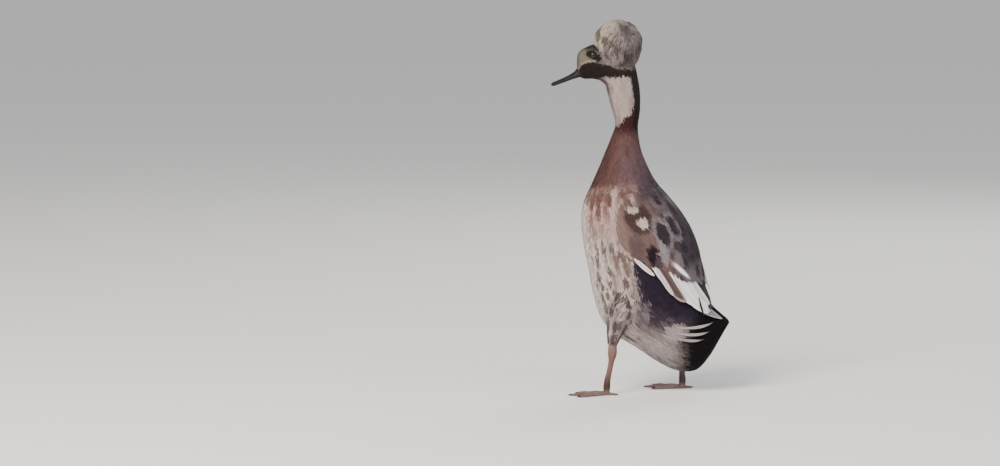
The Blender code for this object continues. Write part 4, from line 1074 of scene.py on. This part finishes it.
# %% Crest feathers
CREST_MIDDLE, CREST_RADII = np.array([-37, 0, 552]), np.array([41, 38, 39.5])
CREST_FEATHERS = 4400
CREST_END = math.radians(164)       # how far from the pole the lowest feathers end
CREST_CURL = math.radians(32)       # how far a feather travels away from the pole
CREST_PAD = 0.62                    # where feathers leave the pad, as a share of the radii
GOLDEN_ANGLE = math.radians(137.508)
CREST_TILT = math.radians(10)
CREST_LEAN = np.array([[math.cos(CREST_TILT), 0, math.sin(CREST_TILT)], [0, 1, 0],
                       [-math.sin(CREST_TILT), 0, math.cos(CREST_TILT)]])


def on_ball(angle, turn):
    """The direction at an angle from the pole and a turn round it."""
    angle, turn = np.broadcast_arrays(angle, turn)
    return np.stack([np.sin(angle) * np.cos(turn), np.sin(angle) * np.sin(turn), np.cos(angle)], -1)


def clumps(direction):
    """Waves from -1 to 1 over the ball of the crest, where its feathers stand in loose locks."""
    x, y, z = np.moveaxis(direction, -1, 0)
    return (np.sin(7 * x + 4 * np.sin(3 * z)) + np.sin(8 * y + 3 * np.sin(4 * x) + 1)
            + np.sin(7 * z - 5 * y + 2 * np.sin(3 * x) + 2)) / 3


def crest_look(direction, depth, draw):
    """Cream above and in front, partly its own colour and partly painted light, grey-brown below and behind
    as painted shade, with painted shade between the locks and on the deeper feathers.
    """
    count = len(direction)
    look, paint = painter(count)
    x, z = direction[:, 0], direction[:, 2]
    paint(np.ones(count), "837877", "6b605f", "8c8180", (0.1, 0.3, 0))
    # Paler cream above and in front: partly the crest's own colour, partly painted light
    paint(smooth(0.5 * z - 0.8 * x, 0.1, 1.0), "aca592", "908978", "b3ac99")
    # Painted shade below and behind
    paint(smooth(0.75 * x - 0.6 * z, 0.0, 0.9), "645857", "4f4544", "6e6261")
    # Painted shade in the hollows between the locks
    paint(0.85 * smooth(-clumps(direction), -0.1, 0.6), "433a39", "322b2b", "4d4443")
    # Painted shade on the feathers that lie deeper in the ball
    paint(0.6 * smooth(0.9 - depth, 0.05, 0.4), "6a5e59", "564b47", "73665f")
    look[:, 0:9] = np.clip(look[:, 0:9] * np.exp(draw.normal(0, 0.07, (count, 1))), 0, 1)
    return look


def crest_down():
    """The closed pad of down that the crest's feathers rise from, coloured in painted shade."""
    direction = on_ball(np.linspace(0.02, math.pi - 0.02, 40)[:, None], circle(64))
    reach = (0.8 + 0.05 * clumps(direction))[..., None]
    points, faces = closed_tube(direction * reach * CREST_RADII + CREST_MIDDLE)
    place = unit((points - CREST_MIDDLE) / CREST_RADII)
    # The crest's look for deep feathers, darkened by 0.8 as painted shade under the feathers over the pad
    ground = crest_look(place, np.full(len(place), 0.75), np.random.default_rng(42))[:, 0:3] * 0.8
    return mesh_object("crest_down", points, outwards(points, faces), SKIN_MATERIAL, {"ground": ground})


def crest():
    """Feathers of the crest. Each leaves the pad, rises to near the ball's surface and lies along
    it for the rest of its length, while its angle from the pole grows by its curl."""
    draw = np.random.default_rng(41)
    count = CREST_FEATHERS
    t, s = vane_grid(5, 2, 1.2)
    at = t[None, :, None]

    # Where each one ends, and the angle from the pole along it
    number = np.arange(count)
    tip_angle = np.arccos(1 + (math.cos(CREST_END) - 1) * (number + 0.5) / count)[:, None, None]
    turn = (number * GOLDEN_ANGLE + draw.normal(0, 0.1, count))[:, None, None]
    travel = CREST_CURL * draw.uniform(0.7, 1.4, (count, 1, 1)) * np.minimum(0.35 + tip_angle, 1)
    angle = np.maximum(tip_angle - travel * (1 - at), 0.03)

    # Its distance from the middle, as a share of the radii, and its width in mm
    middle = on_ball(tip_angle, turn)[:, 0, 0]
    size = 0.93 + 0.055 * clumps(middle @ CREST_LEAN.T) + draw.normal(0, 0.02, count)
    size = np.minimum(size, 0.98)[:, None, None]
    reach = CREST_PAD + (size - CREST_PAD) * (1 - (1 - at) ** 2.6) - 0.03 * at ** 4
    share = web_width(t, 0.35, 0.5, 0.5, 0.92)[None, :, None]
    half_width = draw.uniform(0.8, 1.5, (count, 1, 1)) * share

    # The turn round the pole: its own, the swing of its lock, and the width over the ring's radius
    ring = np.maximum(reach * 40 * np.sin(angle), 1.5)
    swing = draw.normal(0, 0.12, (count, 1, 1)) * at ** 2 + 0.25 * clumps(middle)[:, None, None] * at
    direction = on_ball(angle, turn + swing + np.clip(half_width / ring, 0, math.radians(50)) * s)
    fray = 1 - 0.03 * at ** 6 * draw.random((count, 1, len(s)))
    top = (direction * (reach * fray - 0.02 * s ** 2 * at)[..., None] * CREST_RADII) @ CREST_LEAN.T
    top[..., 2] *= 1 + 0.28 * smooth(-top[..., 2], 0, 30)
    normal = unit(np.cross(np.gradient(top, axis=2), np.gradient(top, axis=1)))
    normal *= np.sign((normal * top).sum(-1, keepdims=True).mean((1, 2), keepdims=True))
    points, template, place = closed_vanes(top, normal, 0.25, s, t)
    look = crest_look(unit(points.mean(1) / CREST_RADII), size[:, 0, 0], draw)
    spread = np.stack([turn[:, 0, 0] / (2 * math.pi) % 1, tip_angle[:, 0, 0] / math.pi], -1)
    part = (points + CREST_MIDDLE, template, place, look, spread)
    return build_coat("crest_feathers", [part], DOWN_KERATIN)


settle(crest_down(), "crest_feathers", "crest")
settle(crest(), "crest_feathers", "crest")

# %% [markdown]
# ## Thighs
#
# The upper leg is muscle under the same soft feathers as the flank. It is a tapering limb that
# leaves the body, so its feathers are laid over a limb surface in the same way as over the trunk.

# %% Thighs
# One row a point of the leg: x, y, z and radius in mm
THIGHS = {
    "left": ((-22, -28, 172, 20), (-33, -34, 130, 21), (-41, -38, 101, 14), (-45, -39, 83, 8.5),
             (-45.5, -39, 71, 7.4)),
    "right": ((20, 30, 124, 16), (40, 35, 88, 17.2), (57, 33, 66, 11.5), (66, 32, 51, 8),
              (67, 32, 41, 6.6)),
}
THIGH_ROWS = ((0, 1, 2, 3), (3.4, 3.0, 2.5, 1.9))       # point of the thigh, mm between rows
THIGH_ROUND = ((0, 1, 2, 3), (1.9, 1.8, 1.6, 1.3))      # the same, mm between roots in a row
THIGH_END = (3.0, 3.7)                                  # where the ragged plumage ends, from and to


def limb_surface(points):
    """A surface over (x, y, z, radius) points: u counts along them, v goes round as on the trunk."""

    def surface(u, v):
        """The middle line at u, and from there the radius in the direction of v."""
        u, v = np.broadcast_arrays(np.asarray(u, float), np.asarray(v, float))
        path = spline(points, u)
        before, after = spline(points, u - 0.02)[..., :3], spline(points, u + 0.02)[..., :3]
        run = unit(after - before)
        sideways = unit(np.cross(run, np.array([1.0, 0, 0])))
        rear = np.cross(sideways, run)
        reach = path[..., 3:4]
        return path[..., :3] + (rear * np.cos(v)[..., None] + sideways * np.sin(v)[..., None]) * reach

    return surface


def thigh_look(u, v, side, draw):
    """The flank's look, carried on down the thigh: streaks outside and a pale front."""
    middle = 2.25 if side == "left" else 2 * math.pi - 2.25
    look = plumage(18.3 + 0.75 * u, middle + 0.3 * np.sin(v), draw)
    streaks = smooth(np.sin(6 * v + 1.5 * u) + 0.6 * np.sin(3 * u + 2 * v), -0.6, 0.9)
    look[:, 0:9] *= (0.92 - 0.45 * streaks)[:, None]
    return look


def thigh(side, seed):
    """The skin and the feathers of one thigh."""
    draw = np.random.default_rng(seed)
    surface = limb_surface(THIGHS[side])
    u = np.linspace(0.05, 2.95, 40)[:, None]
    v = circle(32)
    rings = surface(u, v)
    middle = rings.mean(1, keepdims=True)
    rings = middle + (rings - middle) * 0.86
    skin_piece("skin_thigh_" + side, rings, u, v, lambda u, v: thigh_look(u, v, side, draw), "thigh_" + side)
    roots = staggered(surface, 0.1, 2.75, draw, THIGH_ROWS, THIGH_ROUND)
    step = np.interp(roots[:, 0], *THIGH_ROWS)
    length = 3.8 * step * draw.normal(1, 0.13, len(roots))
    along, around = tangents(surface, roots[:, 0], roots[:, 1])
    tips = roots + np.stack(flat_step(along, around, unit(along) * length[:, None]), -1)
    tips[:, 0] = np.minimum(tips[:, 0], draw.uniform(*THIGH_END, len(roots)))
    vanes = lay_vanes(surface, roots, tips, 0.5 * step, (-1.6, 0.0), draw, **LOCK)
    shown = roots + SHOWN_AT * (tips - roots)
    look = thigh_look(shown[:, 0], shown[:, 1], side, draw)
    coat = build_coat("coat_thigh_" + side, [(*vanes, look, unwrapped(roots, 0, 3))], SOFT_KERATIN)
    settle(coat, "body_feathers")


thigh("left", 51)
thigh("right", 52)

# %% [markdown]
# ## The bill
#
# Each half of the bill is an arc over or under the mouth line, drawn out along sections that
# spread towards the tip. The fine forms are small shifts of that surface: a bead along the cutting
# edge, the slit of the nostril with its rim, the raised nail and the comb of lamellae below.

# %% Bill
BILL_BASE, BILL_LENGTH, MOUTH_LINE = np.array([-97, 0, 505.0]), 48.5, -1.6
BILL_DROOP = math.radians(22.3)
BILL_FORWARD = np.array([-math.cos(BILL_DROOP), 0, -math.sin(BILL_DROOP)])
BILL_UPWARD = np.array([-math.sin(BILL_DROOP), 0, math.cos(BILL_DROOP)])
# One row a section, in mm: distance from the base, top, half width, underside
BILL_SECTIONS = ((-8, 9.5, 8.5, -6.8), (0, 9, 10, -6.5), (6, 5.8, 9.8, -5.8), (14, 3.9, 9.7, -5.1),
                 (24, 3.0, 10.4, -4.7), (34, 2.7, 11.6, -4.3), (42, 2.4, 11.8, -3.9), (46, 1.6, 9.2, -3.3),
                 (48.5, 0.2, 3.5, -2.3))
NOSTRIL_ALONG, NOSTRIL_HEIGHT = 13, 2.5     # mm from the base and over the mouth line
STATIONS, TURNS = 96, 48                    # points along a half of the bill and over its arc


def hump(x, middle, width):
    """A smooth rise to 1 at middle that falls off over width."""
    return np.exp(-((x - middle) / width) ** 2)


def horn_material():
    """Leathery bill skin over horn: blackish, a little worn, with fine pores and creases."""
    made, tree, shader = new_material("leathery_bill_horn")
    place = add(tree, "TexCoord", out="Object")
    fine = add(tree, "TexNoise", {"Vector": place, "Scale": 1400.0, "Detail": 3.0})
    broad = add(tree, "TexNoise", {"Vector": place, "Scale": 160.0, "Detail": 4.0})
    shade = add(tree, "Math", [fine, 0.3, 0.4], operation="MULTIPLY_ADD")
    shade = add(tree, "Math", [broad, 0.9, shade], operation="MULTIPLY_ADD")
    height = add(tree, "Math", [fine, 0.6, broad], operation="MULTIPLY_ADD")
    ground = add(tree, "Attribute", attribute_name="ground")
    fill(tree, shader, {
        "Base Color": add(tree, "Mix", {0: 1.0, 6: ground, 7: shade}, **TIMES),
        "Roughness": add(tree, "Math", [broad, 0.25, 0.42], operation="MULTIPLY_ADD"),
        "Normal": add(tree, "Bump", {"Strength": 0.4, "Distance": 0.0003, "Height": height}),
        "Specular IOR Level": 0.22})
    return made


HORN = horn_material()


def mandible(name, upper, node):
    """One half of the bill as a closed body: an arc from edge to edge in each section, moved along
    its outward direction by the relief."""
    at = (len(BILL_SECTIONS) - 1) * (1 - (1 - np.linspace(0, 1, STATIONS)) ** 1.3)
    along, top, half_width, under = np.moveaxis(spline(BILL_SECTIONS, at), -1, 0)[:, :, None]
    angle = np.linspace(0, math.pi, TURNS)[None, :]
    from_edge = np.minimum(angle, math.pi - angle)
    edge = MOUTH_LINE if upper else MOUTH_LINE - 0.3
    tip = np.maximum(top, edge + 0.4) if upper else np.minimum(under, edge - 0.4)
    width = half_width if upper else half_width - 1.0
    run = along if upper else np.minimum(along, BILL_LENGTH - 1.2 - 0.3 * (BILL_LENGTH - along))
    height = edge + (tip - edge) * np.sin(angle) ** 0.8
    across = width * np.cos(angle)
    lift = np.zeros((STATIONS, TURNS))
    if upper:
        # A bead along the edge, the nostril, the nail at the tip and creases at the base
        lift = lift + 0.45 * np.exp(-(from_edge / 0.16) ** 2)
        slit = hump(along, NOSTRIL_ALONG, 2.6) * hump(height, NOSTRIL_HEIGHT, 0.95)
        rim = hump(along, NOSTRIL_ALONG, 3.6) * hump(height, NOSTRIL_HEIGHT, 1.7)
        lift = lift + 0.35 * rim - 1.9 * slit
        nail = smooth(along, 40.5, 41.6) * (1 - smooth(np.abs(across), 3.0, 3.7))
        lift = lift + 0.5 * nail - 0.3 * hump(np.abs(across), 3.6, 0.5) * smooth(along, 40, 42)
        lift = lift + 0.12 * np.sin(along * 2.4) * hump(along, 1, 4)
    else:
        # The comb of lamellae along the edge and a groove down the middle
        slit = nail = np.zeros_like(lift)
        lift = lift + 0.14 * np.sin(along * 4.2) * np.exp(-(from_edge / 0.3) ** 2)
        lift = lift - 0.35 * hump(across, 0, 1.2) * smooth(along, 2, 10)
    across = across + np.cos(angle) * lift
    height = height + np.sin(angle) * (1 if upper else -1) * lift
    rings = BILL_BASE + run[..., None] * BILL_FORWARD + height[..., None] * BILL_UPWARD
    rings[..., 1] += across
    points, faces = closed_tube(rings)
    colour = np.tile(linear("120e0d" if upper else "1b1513"), (STATIONS * TURNS, 1))
    nail, slit = nail.reshape(-1, 1), slit.reshape(-1, 1)
    # The nail is paler with wear, and the nostril slit is darkened as painted shade
    worn, deep = linear("241d1b") - colour, linear("0c0908") - colour
    colour = colour + smooth(nail, 0.2, 0.9) * worn + slit * deep
    lip = hump(height.reshape(-1, 1), edge, 0.5)
    colour = np.vstack([colour + 0.5 * lip * (linear("3a2f2b") - colour), colour[:1], colour[-1:]])
    rim = np.zeros(len(points), bool)
    rim[:STATIONS * TURNS].reshape(STATIONS, TURNS)[:, [0, -1]] = True
    piece = mesh_object(name, points, outwards(points, faces), HORN, {"ground": colour}, rim=rim)
    return settle(piece, "bill_horn", node)


mandible("bill_upper_horn", True, "bill_upper")
mandible("bill_lower_horn", False, "bill_lower")

# %% [markdown]
# ## The eyes
#
# A duck's eye is a dark brown iris round a large black pupil under a wet, clear cornea. The ball is
# a fine sphere whose pole looks outwards, so the angle from the pole tells pupil, iris and white
# apart. Two lids of bare wrinkled skin close round it and lead over to the face.

# %% Eyes and lids
EYE_RADIUS, LID_RADIUS = 6.3, 5.0


def eye_material():
    """Wet eye: black pupil, brown iris with fine rays and a dark rim, under a clear glossy coat.
    The attribute turn is the angle from the pole, and it parts them."""
    made, tree, shader = new_material("wet_eye")
    turn = add(tree, "Attribute", out="Fac", attribute_name="turn")
    place = add(tree, "TexCoord", out="Object")
    rays = add(tree, "TexNoise", {"Vector": place, "Scale": 1500.0, "Detail": 2.0})
    iris = add(tree, "Mix", {0: rays, 6: rgba("170c06"), 7: rgba("341c0e")}, **MIX)
    past_pupil = add(tree, "MapRange", [turn, 0.34, 0.38], **SOFT_STEP)
    past_iris = add(tree, "MapRange", [turn, 0.62, 0.72], **SOFT_STEP)
    colour = add(tree, "Mix", {0: past_pupil, 6: rgba("040303"), 7: iris}, **MIX)
    fill(tree, shader, {
        "Base Color": add(tree, "Mix", {0: past_iris, 6: colour, 7: rgba("120c0a")}, **MIX),
        "Roughness": 0.25, "Coat Weight": 0.5, "Coat Roughness": 0.03, "Specular IOR Level": 0.2})
    return made


def lid_material():
    """Bare skin of the lids: dark grey-brown, finely wrinkled, a little moist."""
    made, tree, shader = new_material("bare_eyelid_skin")
    place = add(tree, "TexCoord", out="Object")
    fine = add(tree, "TexNoise", {"Vector": place, "Scale": 1800.0, "Detail": 3.0})
    fill(tree, shader, {
        "Base Color": add(tree, "Mix", {0: fine, 6: rgba("060504"), 7: rgba("181311")}, **MIX),
        "Normal": add(tree, "Bump", {"Strength": 0.5, "Distance": 0.0002, "Height": fine}),
        "Roughness": 0.6, "Specular IOR Level": 0.2})
    return made


EYE_MATERIAL, LID_MATERIAL = eye_material(), lid_material()


def eye(side, sign):
    """An eyeball with its cornea and the pair of lids round it."""
    middle = EYE * [1, sign, 1]
    pole = unit(np.array([-0.12, sign, 0.25]))
    across = unit(np.cross(pole, [0, 0, 1]))
    upright = np.cross(across, pole)

    def turned(x, y, z):
        """Points given across, up and out from the middle of the eye."""
        return middle + x[..., None] * across + y[..., None] * upright + z[..., None] * pole

    # The ball, which bulges a little over the pupil
    sides = 64
    turn = np.linspace(0.02, math.pi - 0.02, 48)[:, None]
    round_pole = circle(sides)
    radius = EYE_RADIUS + 0.35 * (1 - smooth(turn, 0.25, 0.75))
    rings = turned(radius * np.sin(turn) * np.cos(round_pole), radius * np.sin(turn) * np.sin(round_pole),
                   radius * np.cos(turn) * np.ones_like(round_pole))
    points, faces = closed_tube(rings)
    angle = np.concatenate([np.repeat(turn[:, 0], sides), [0, math.pi]])
    ball = mesh_object("eyeball_" + side, points, outwards(points, faces), EYE_MATERIAL, {"turn": angle})
    settle(ball, "eye", "eye_" + side)

    # The lids: a ring whose opening is an almond, thick at the rim and thin where it meets the face
    spin, around = circle(128).T, circle(20)
    open_y = 0.80 + 0.06 * np.cos(2 * spin)
    crease = 0.12 * np.sin(9 * around + 3 * np.sin(spin)) * (np.cos(around) > -0.2)
    reach = LID_RADIUS + (1.05 + crease) * np.cos(around)
    depth = 4.15 + 0.95 * np.sin(around) - 0.12 * (reach - LID_RADIUS) ** 2
    depth = depth + 0.03 * np.sin(37 * spin) * np.sin(around)
    corner = 1 + 0.16 * np.abs(np.cos(spin)) ** 6
    rings = turned(reach * corner * np.cos(spin), reach * open_y * np.sin(spin), depth)
    points = rings.reshape(-1, 3)
    faces = grid_faces(len(rings) + 1, rings.shape[1], wrap=True) % len(points)
    lids = mesh_object("eyelids_" + side, points, outwards(points, [faces]), LID_MATERIAL)
    settle(lids, "head_feathers")


eye("left", -1)
eye("right", 1)

# %% [markdown]
# ## Legs and feet
#
# Below the feathers the leg is skin over bone and tendon: broad scutes down the front, small
# many-sided scales elsewhere, and swollen, darker joints. Toes are tubes that are flat underneath,
# with a scute over every short length of bone; webs hang between them, and each ends in a claw.

# %% Legs and feet
# One row a point of the leg: x, y, z and radius in mm
SHANKS = {
    "left": ((-44, -39, 90, 5), (-45, -39, 82.7, 6.2), (-45.5, -39, 66, 7), (-47, -39, 54, 4.6),
             (-50, -39, 38, 4.2), (-53, -39, 24, 4.8), (-54, -39, 13, 5.4), (-54.4, -39, 3, 4.6)),
    "right": ((65, 32, 58, 5), (66, 32, 50.7, 6), (67, 32, 44, 5), (68, 32, 32, 4.3), (68.5, 32, 23, 4.8),
              (69, 32, 13, 5.4), (68.6, 32, 3, 4.6)),
}
ANKLES = {"left": (-54, -39, 0), "right": (69, 32, 0)}      # where the toes of a foot meet, in mm
OUT = {"left": -1, "right": 1}                              # outwards along y
# Length in mm, degrees outwards and size of each toe
TOES = {"inner": (47, -24, 1.0), "middle": (57, 0, 1.0), "outer": (50, 23, 1.0), "hind": (15, 160, 0.75)}
TOES_OUT = 8            # degrees that a whole foot turns outwards
CLAW_LENGTH, SCUTE_RUN, TOE_SCUTE_RUN = 6.5, 3.6, 2.6       # mm
# Half width and height in mm from the root of a toe to its claw, wider over the knuckles
TOE_SHAPE = ((4.2, 7.5), (3.0, 6.2), (3.6, 6.4), (2.7, 5.0), (3.1, 5.0), (2.1, 3.6))


def leg_material():
    """Scaly leg skin: many-sided scales as a net of creases with painted shade in them, dull orange brown,
    darker where worn.
    """
    made, tree, shader = new_material("scaly_leg_skin")
    place = add(tree, "TexCoord", out="Object")
    net = add(tree, "TexVoronoi", {"Vector": place, "Scale": 620.0}, feature="DISTANCE_TO_EDGE")
    crease = add(tree, "MapRange", [net, 0.0, 0.12])
    broad = add(tree, "TexNoise", {"Vector": place, "Scale": 120.0, "Detail": 4.0})
    shade = add(tree, "Math", [broad, 0.8, 0.2], operation="MULTIPLY_ADD")
    # Painted shade: darker in the creases between the scales
    shade = add(tree, "Math", [crease, 0.4, shade], operation="MULTIPLY_ADD")
    ground = add(tree, "Attribute", attribute_name="ground")
    fill(tree, shader, {
        "Base Color": add(tree, "Mix", {0: 1.0, 6: ground, 7: shade}, **TIMES),
        "Normal": add(tree, "Bump", {"Strength": 0.6, "Distance": 0.0003, "Height": crease}),
        "Roughness": add(tree, "Math", [broad, 0.2, 0.42], operation="MULTIPLY_ADD"),
        "Subsurface Weight": 0.08, "Subsurface Scale": 0.001})
    return made


LEG_SKIN = leg_material()


def leg_colour(points):
    """Dull orange brown, dark brown at the ankle and the hock, greyer on the webs and toes."""
    z = points[:, 2:3]
    colour = np.tile(linear("76544a"), (len(points), 1))
    colour = colour + smooth(z, 60, 86) * (linear("8c6e64") - colour)
    colour = colour + 0.95 * hump(z, 15, 15) * (linear("321a17") - colour)
    return colour + 0.8 * (1 - smooth(z, 5, 11)) * (linear("776058") - colour)


def claw_colour(points):
    """Dark brown horn all over."""
    return np.tile(linear("2a201c"), (len(points), 1))


def joined(name, bodies, material, slot, node, colour=leg_colour):
    """Closed bodies (points, faces) as one piece, each with its faces turned outwards."""
    points, groups, offset = [], [], 0
    for body, faces in bodies:
        groups += [group + offset for group in outwards(body, faces)]
        points.append(body)
        offset += len(body)
    points = np.vstack(points)
    points[:, 2] = np.maximum(points[:, 2], 0)
    return settle(mesh_object(name, points, groups, material, {"ground": colour(points)}), slot, node)


def shank(side):
    """The bare leg with scutes down its front."""
    table = SHANKS[side]
    u = np.linspace(0, len(table) - 1, 190)[:, None]
    v = circle(40)
    rings = limb_surface(table)(u, v)
    middle = rings.mean(1, keepdims=True)
    height = middle[..., 2]
    front = smooth(-np.cos(v), 0.45, 0.75)
    scute = 0.30 * np.abs(np.sin(height * np.pi / SCUTE_RUN + 0.3 * np.sin(3 * v))) ** 0.6
    tendon = 0.35 * hump(np.cos(v), 1, 0.12)
    side_squeeze = 1 - 0.15 * np.abs(np.sin(v)) ** 2
    reach = (rings - middle) * side_squeeze[..., None]
    rings = middle + reach + unit(reach) * (front * scute + tendon - 0.15)[..., None]
    joined("leg_skin_" + side, [closed_tube(rings)], LEG_SKIN, "leg_skin", "shank_" + side)


def toe_line(side, toe):
    """Where a toe starts on the floor, its direction and length, and its size against a front toe."""
    length, spread, size = TOES[toe]
    turn = math.radians(spread + TOES_OUT)
    direction = np.array([-math.cos(turn), OUT[side] * math.sin(turn), 0])
    return np.array(ANKLES[side], float), direction, length, size


def toe_body(side, toe):
    """One toe: a rounded tube, flat underneath, with knuckles and a row of scutes on top."""
    start, direction, length, size = toe_line(side, toe)
    sideways = np.array([-direction[1], direction[0], 0])
    share = np.linspace(0, 1, 110)[:, None]
    half_width, height = np.moveaxis(spline(TOE_SHAPE, share * (len(TOE_SHAPE) - 1)), -1, 0) * size
    angle = circle(28)
    across = half_width * np.sign(np.cos(angle)) * np.abs(np.cos(angle)) ** 0.8
    up = np.sin(angle)
    above = height * np.where(up > 0, 0.35 + 0.65 * np.abs(up) ** 0.9, 0.35 - 0.35 * np.abs(up) ** 0.5)
    scute = 0.25 * np.abs(np.sin(share * length * np.pi / TOE_SCUTE_RUN)) ** 0.6 * smooth(up, 0.3, 0.7)
    rounded = np.sqrt(np.clip(1 - ((share - 0.93) / 0.07).clip(0, 1) ** 2 * 0.75, 0, 1))
    points = start + direction * (share * length)[..., None] + sideways * (across * rounded)[..., None]
    points[..., 2] += above * (0.3 + 0.7 * rounded) + scute - 0.1
    return closed_tube(points)


def web_body(side, toe, other):
    """The web between two toes: a thin sheet, sagging between them and scalloped in front."""
    start, one, one_length, _ = toe_line(side, toe)
    _, two, two_length, _ = toe_line(side, other)
    along = np.linspace(0.05, 0.95, 48)[:, None]
    across = np.linspace(0, 1, 33)[None, :]
    scallop = 1 - 0.2 * np.sin(math.pi * across) * (0.4 + 0.6 * along)
    reach = (1 - across)[..., None] * one * one_length + across[..., None] * two * two_length
    sheet = start + (along * scallop)[..., None] * reach
    sag = 2.3 - 0.9 * np.sin(math.pi * across) * along
    fold = 0.16 * np.sin(across * 26 + 2 * along) * np.sin(math.pi * across) + 0.10 * np.sin(along * 60)
    top, bottom = sheet.copy(), sheet.copy()
    top[..., 2] += sag + fold
    bottom[..., 2] += 0.3
    return closed_tube(np.concatenate([top, bottom[:, ::-1]], 1))


def claw_body(side, toe):
    """A curved claw that bends down in front of its toe."""
    start, direction, length, size = toe_line(side, toe)
    sideways = np.array([-direction[1], direction[0], 0])
    share = np.linspace(0, 1, 24)[:, None]
    angle = circle(20)
    radius = 1.5 * size * (1 - share ** 1.7 * 0.9)
    level = radius + 0.15 + 0.4 * size * (1 - share) + 0.5 * np.sin(np.pi * share)
    along = length - 0.5 + share * CLAW_LENGTH * size
    points = start + direction * along[..., None] + sideways * (radius * np.cos(angle) * 0.85)[..., None]
    points[..., 2] += level + radius * np.sin(angle)
    return closed_tube(points)


def foot(side):
    """Toes and webs as one piece, and the four claws as one each."""
    bodies = [toe_body(side, toe) for toe in TOES]
    bodies += [web_body(side, "inner", "middle"), web_body(side, "middle", "outer")]
    joined("foot_skin_" + side, bodies, LEG_SKIN, "leg_skin", "foot_" + side)
    for number, toe in enumerate(TOES, 1):
        joined(f"claw_horn_{side}_{number}", [claw_body(side, toe)], HORN, "claw_horn",
               f"claw_{side}_{number}", claw_colour)


for side in ("left", "right"):
    shank(side)
    foot(side)

# %% [markdown]
# ## Stage, light and camera
#
# A museum model is looked at on a plain floor in even light. A large soft light from the upper
# left gives the plumage its form, a weaker one fills the shadows, and the pale world does the
# rest. The camera stands where the photograph was taken from, a little above the bird.

# %% Floor
def floor_material():
    """Matt pale board with the faintest mottling."""
    made, tree, shader = new_material("matt_pale_board")
    place = add(tree, "TexCoord", out="Object")
    noise = add(tree, "TexNoise", {"Vector": place, "Scale": 60.0, "Detail": 4.0})
    colour = add(tree, "Mix", {0: noise, 6: rgba("eceae6"), 7: rgba("f0eeea")}, **MIX)
    fill(tree, shader, {"Base Color": colour, "Roughness": 0.9})
    return made


FLOOR_SIZE = 80000      # mm
corners = np.array([(-1, -1, 0), (1, -1, 0), (1, 1, 0), (-1, 1, 0)]) * FLOOR_SIZE / 2
floor = mesh_object("floor", corners, np.array([[0, 1, 2, 3]]), floor_material(), smooth=False)

# %% Light
world = bpy.context.scene.world or bpy.data.worlds.new("studio")
bpy.context.scene.world = world
world.use_nodes = True
sky = world.node_tree
height = add(sky, "SeparateXYZ", [add(sky, "TexCoord", out="Generated")], out=2)
height = add(sky, "MapRange", [height, 0.0, 0.3])
colour = add(sky, "Mix", {0: height, 6: rgba("d0d0cf"), 7: rgba("e4e6ea")}, **MIX)
fill(sky, sky.nodes["Background"], {"Color": colour, "Strength": 0.78})


def area_light(name, place, target, size, power, code):
    """A square soft light at place that faces target, both in metres."""
    lamp = bpy.data.lights.new(name, "AREA")
    lamp.size, lamp.energy, lamp.color = size, power, linear(code)
    made = bpy.data.objects.new(name, lamp)
    bpy.context.scene.collection.objects.link(made)
    from_target = np.asarray(place, float) - target
    made.rotation_euler = Vector(from_target).to_track_quat("Z", "Y").to_euler()
    made.location = place
    return made


area_light("key", (-1.6, -2.2, 2.6), (0, 0, 0.3), 1.6, 180, "fff6ea")
area_light("fill", (2.4, -2.0, 1.4), (0, 0, 0.3), 2.0, 34, "e8f0ff")
area_light("rim", (1.2, 2.4, 2.2), (0, 0, 0.35), 1.6, 36, "ffffff")

# %% Camera
# The middle of the photograph lies beside the bird, and 1.58 m of the bird's plane fill its width
VIEW_MIDDLE = np.array([-0.222, 0, 0.2525])
VIEW_WIDTH, VIEW_DISTANCE, VIEW_ELEVATION = 1.578, 5.0, math.radians(6)
camera = bpy.data.objects.new("camera", bpy.data.cameras.new("camera"))
bpy.context.scene.collection.objects.link(camera)
away = np.array([0, -math.cos(VIEW_ELEVATION), math.sin(VIEW_ELEVATION)])
camera.location = VIEW_MIDDLE + away * VIEW_DISTANCE
camera.rotation_euler = (math.pi / 2 - VIEW_ELEVATION, 0, 0)
camera.data.sensor_fit = "HORIZONTAL"
camera.data.angle = 2 * math.atan(VIEW_WIDTH / 2 / VIEW_DISTANCE)
bpy.context.scene.camera = camera
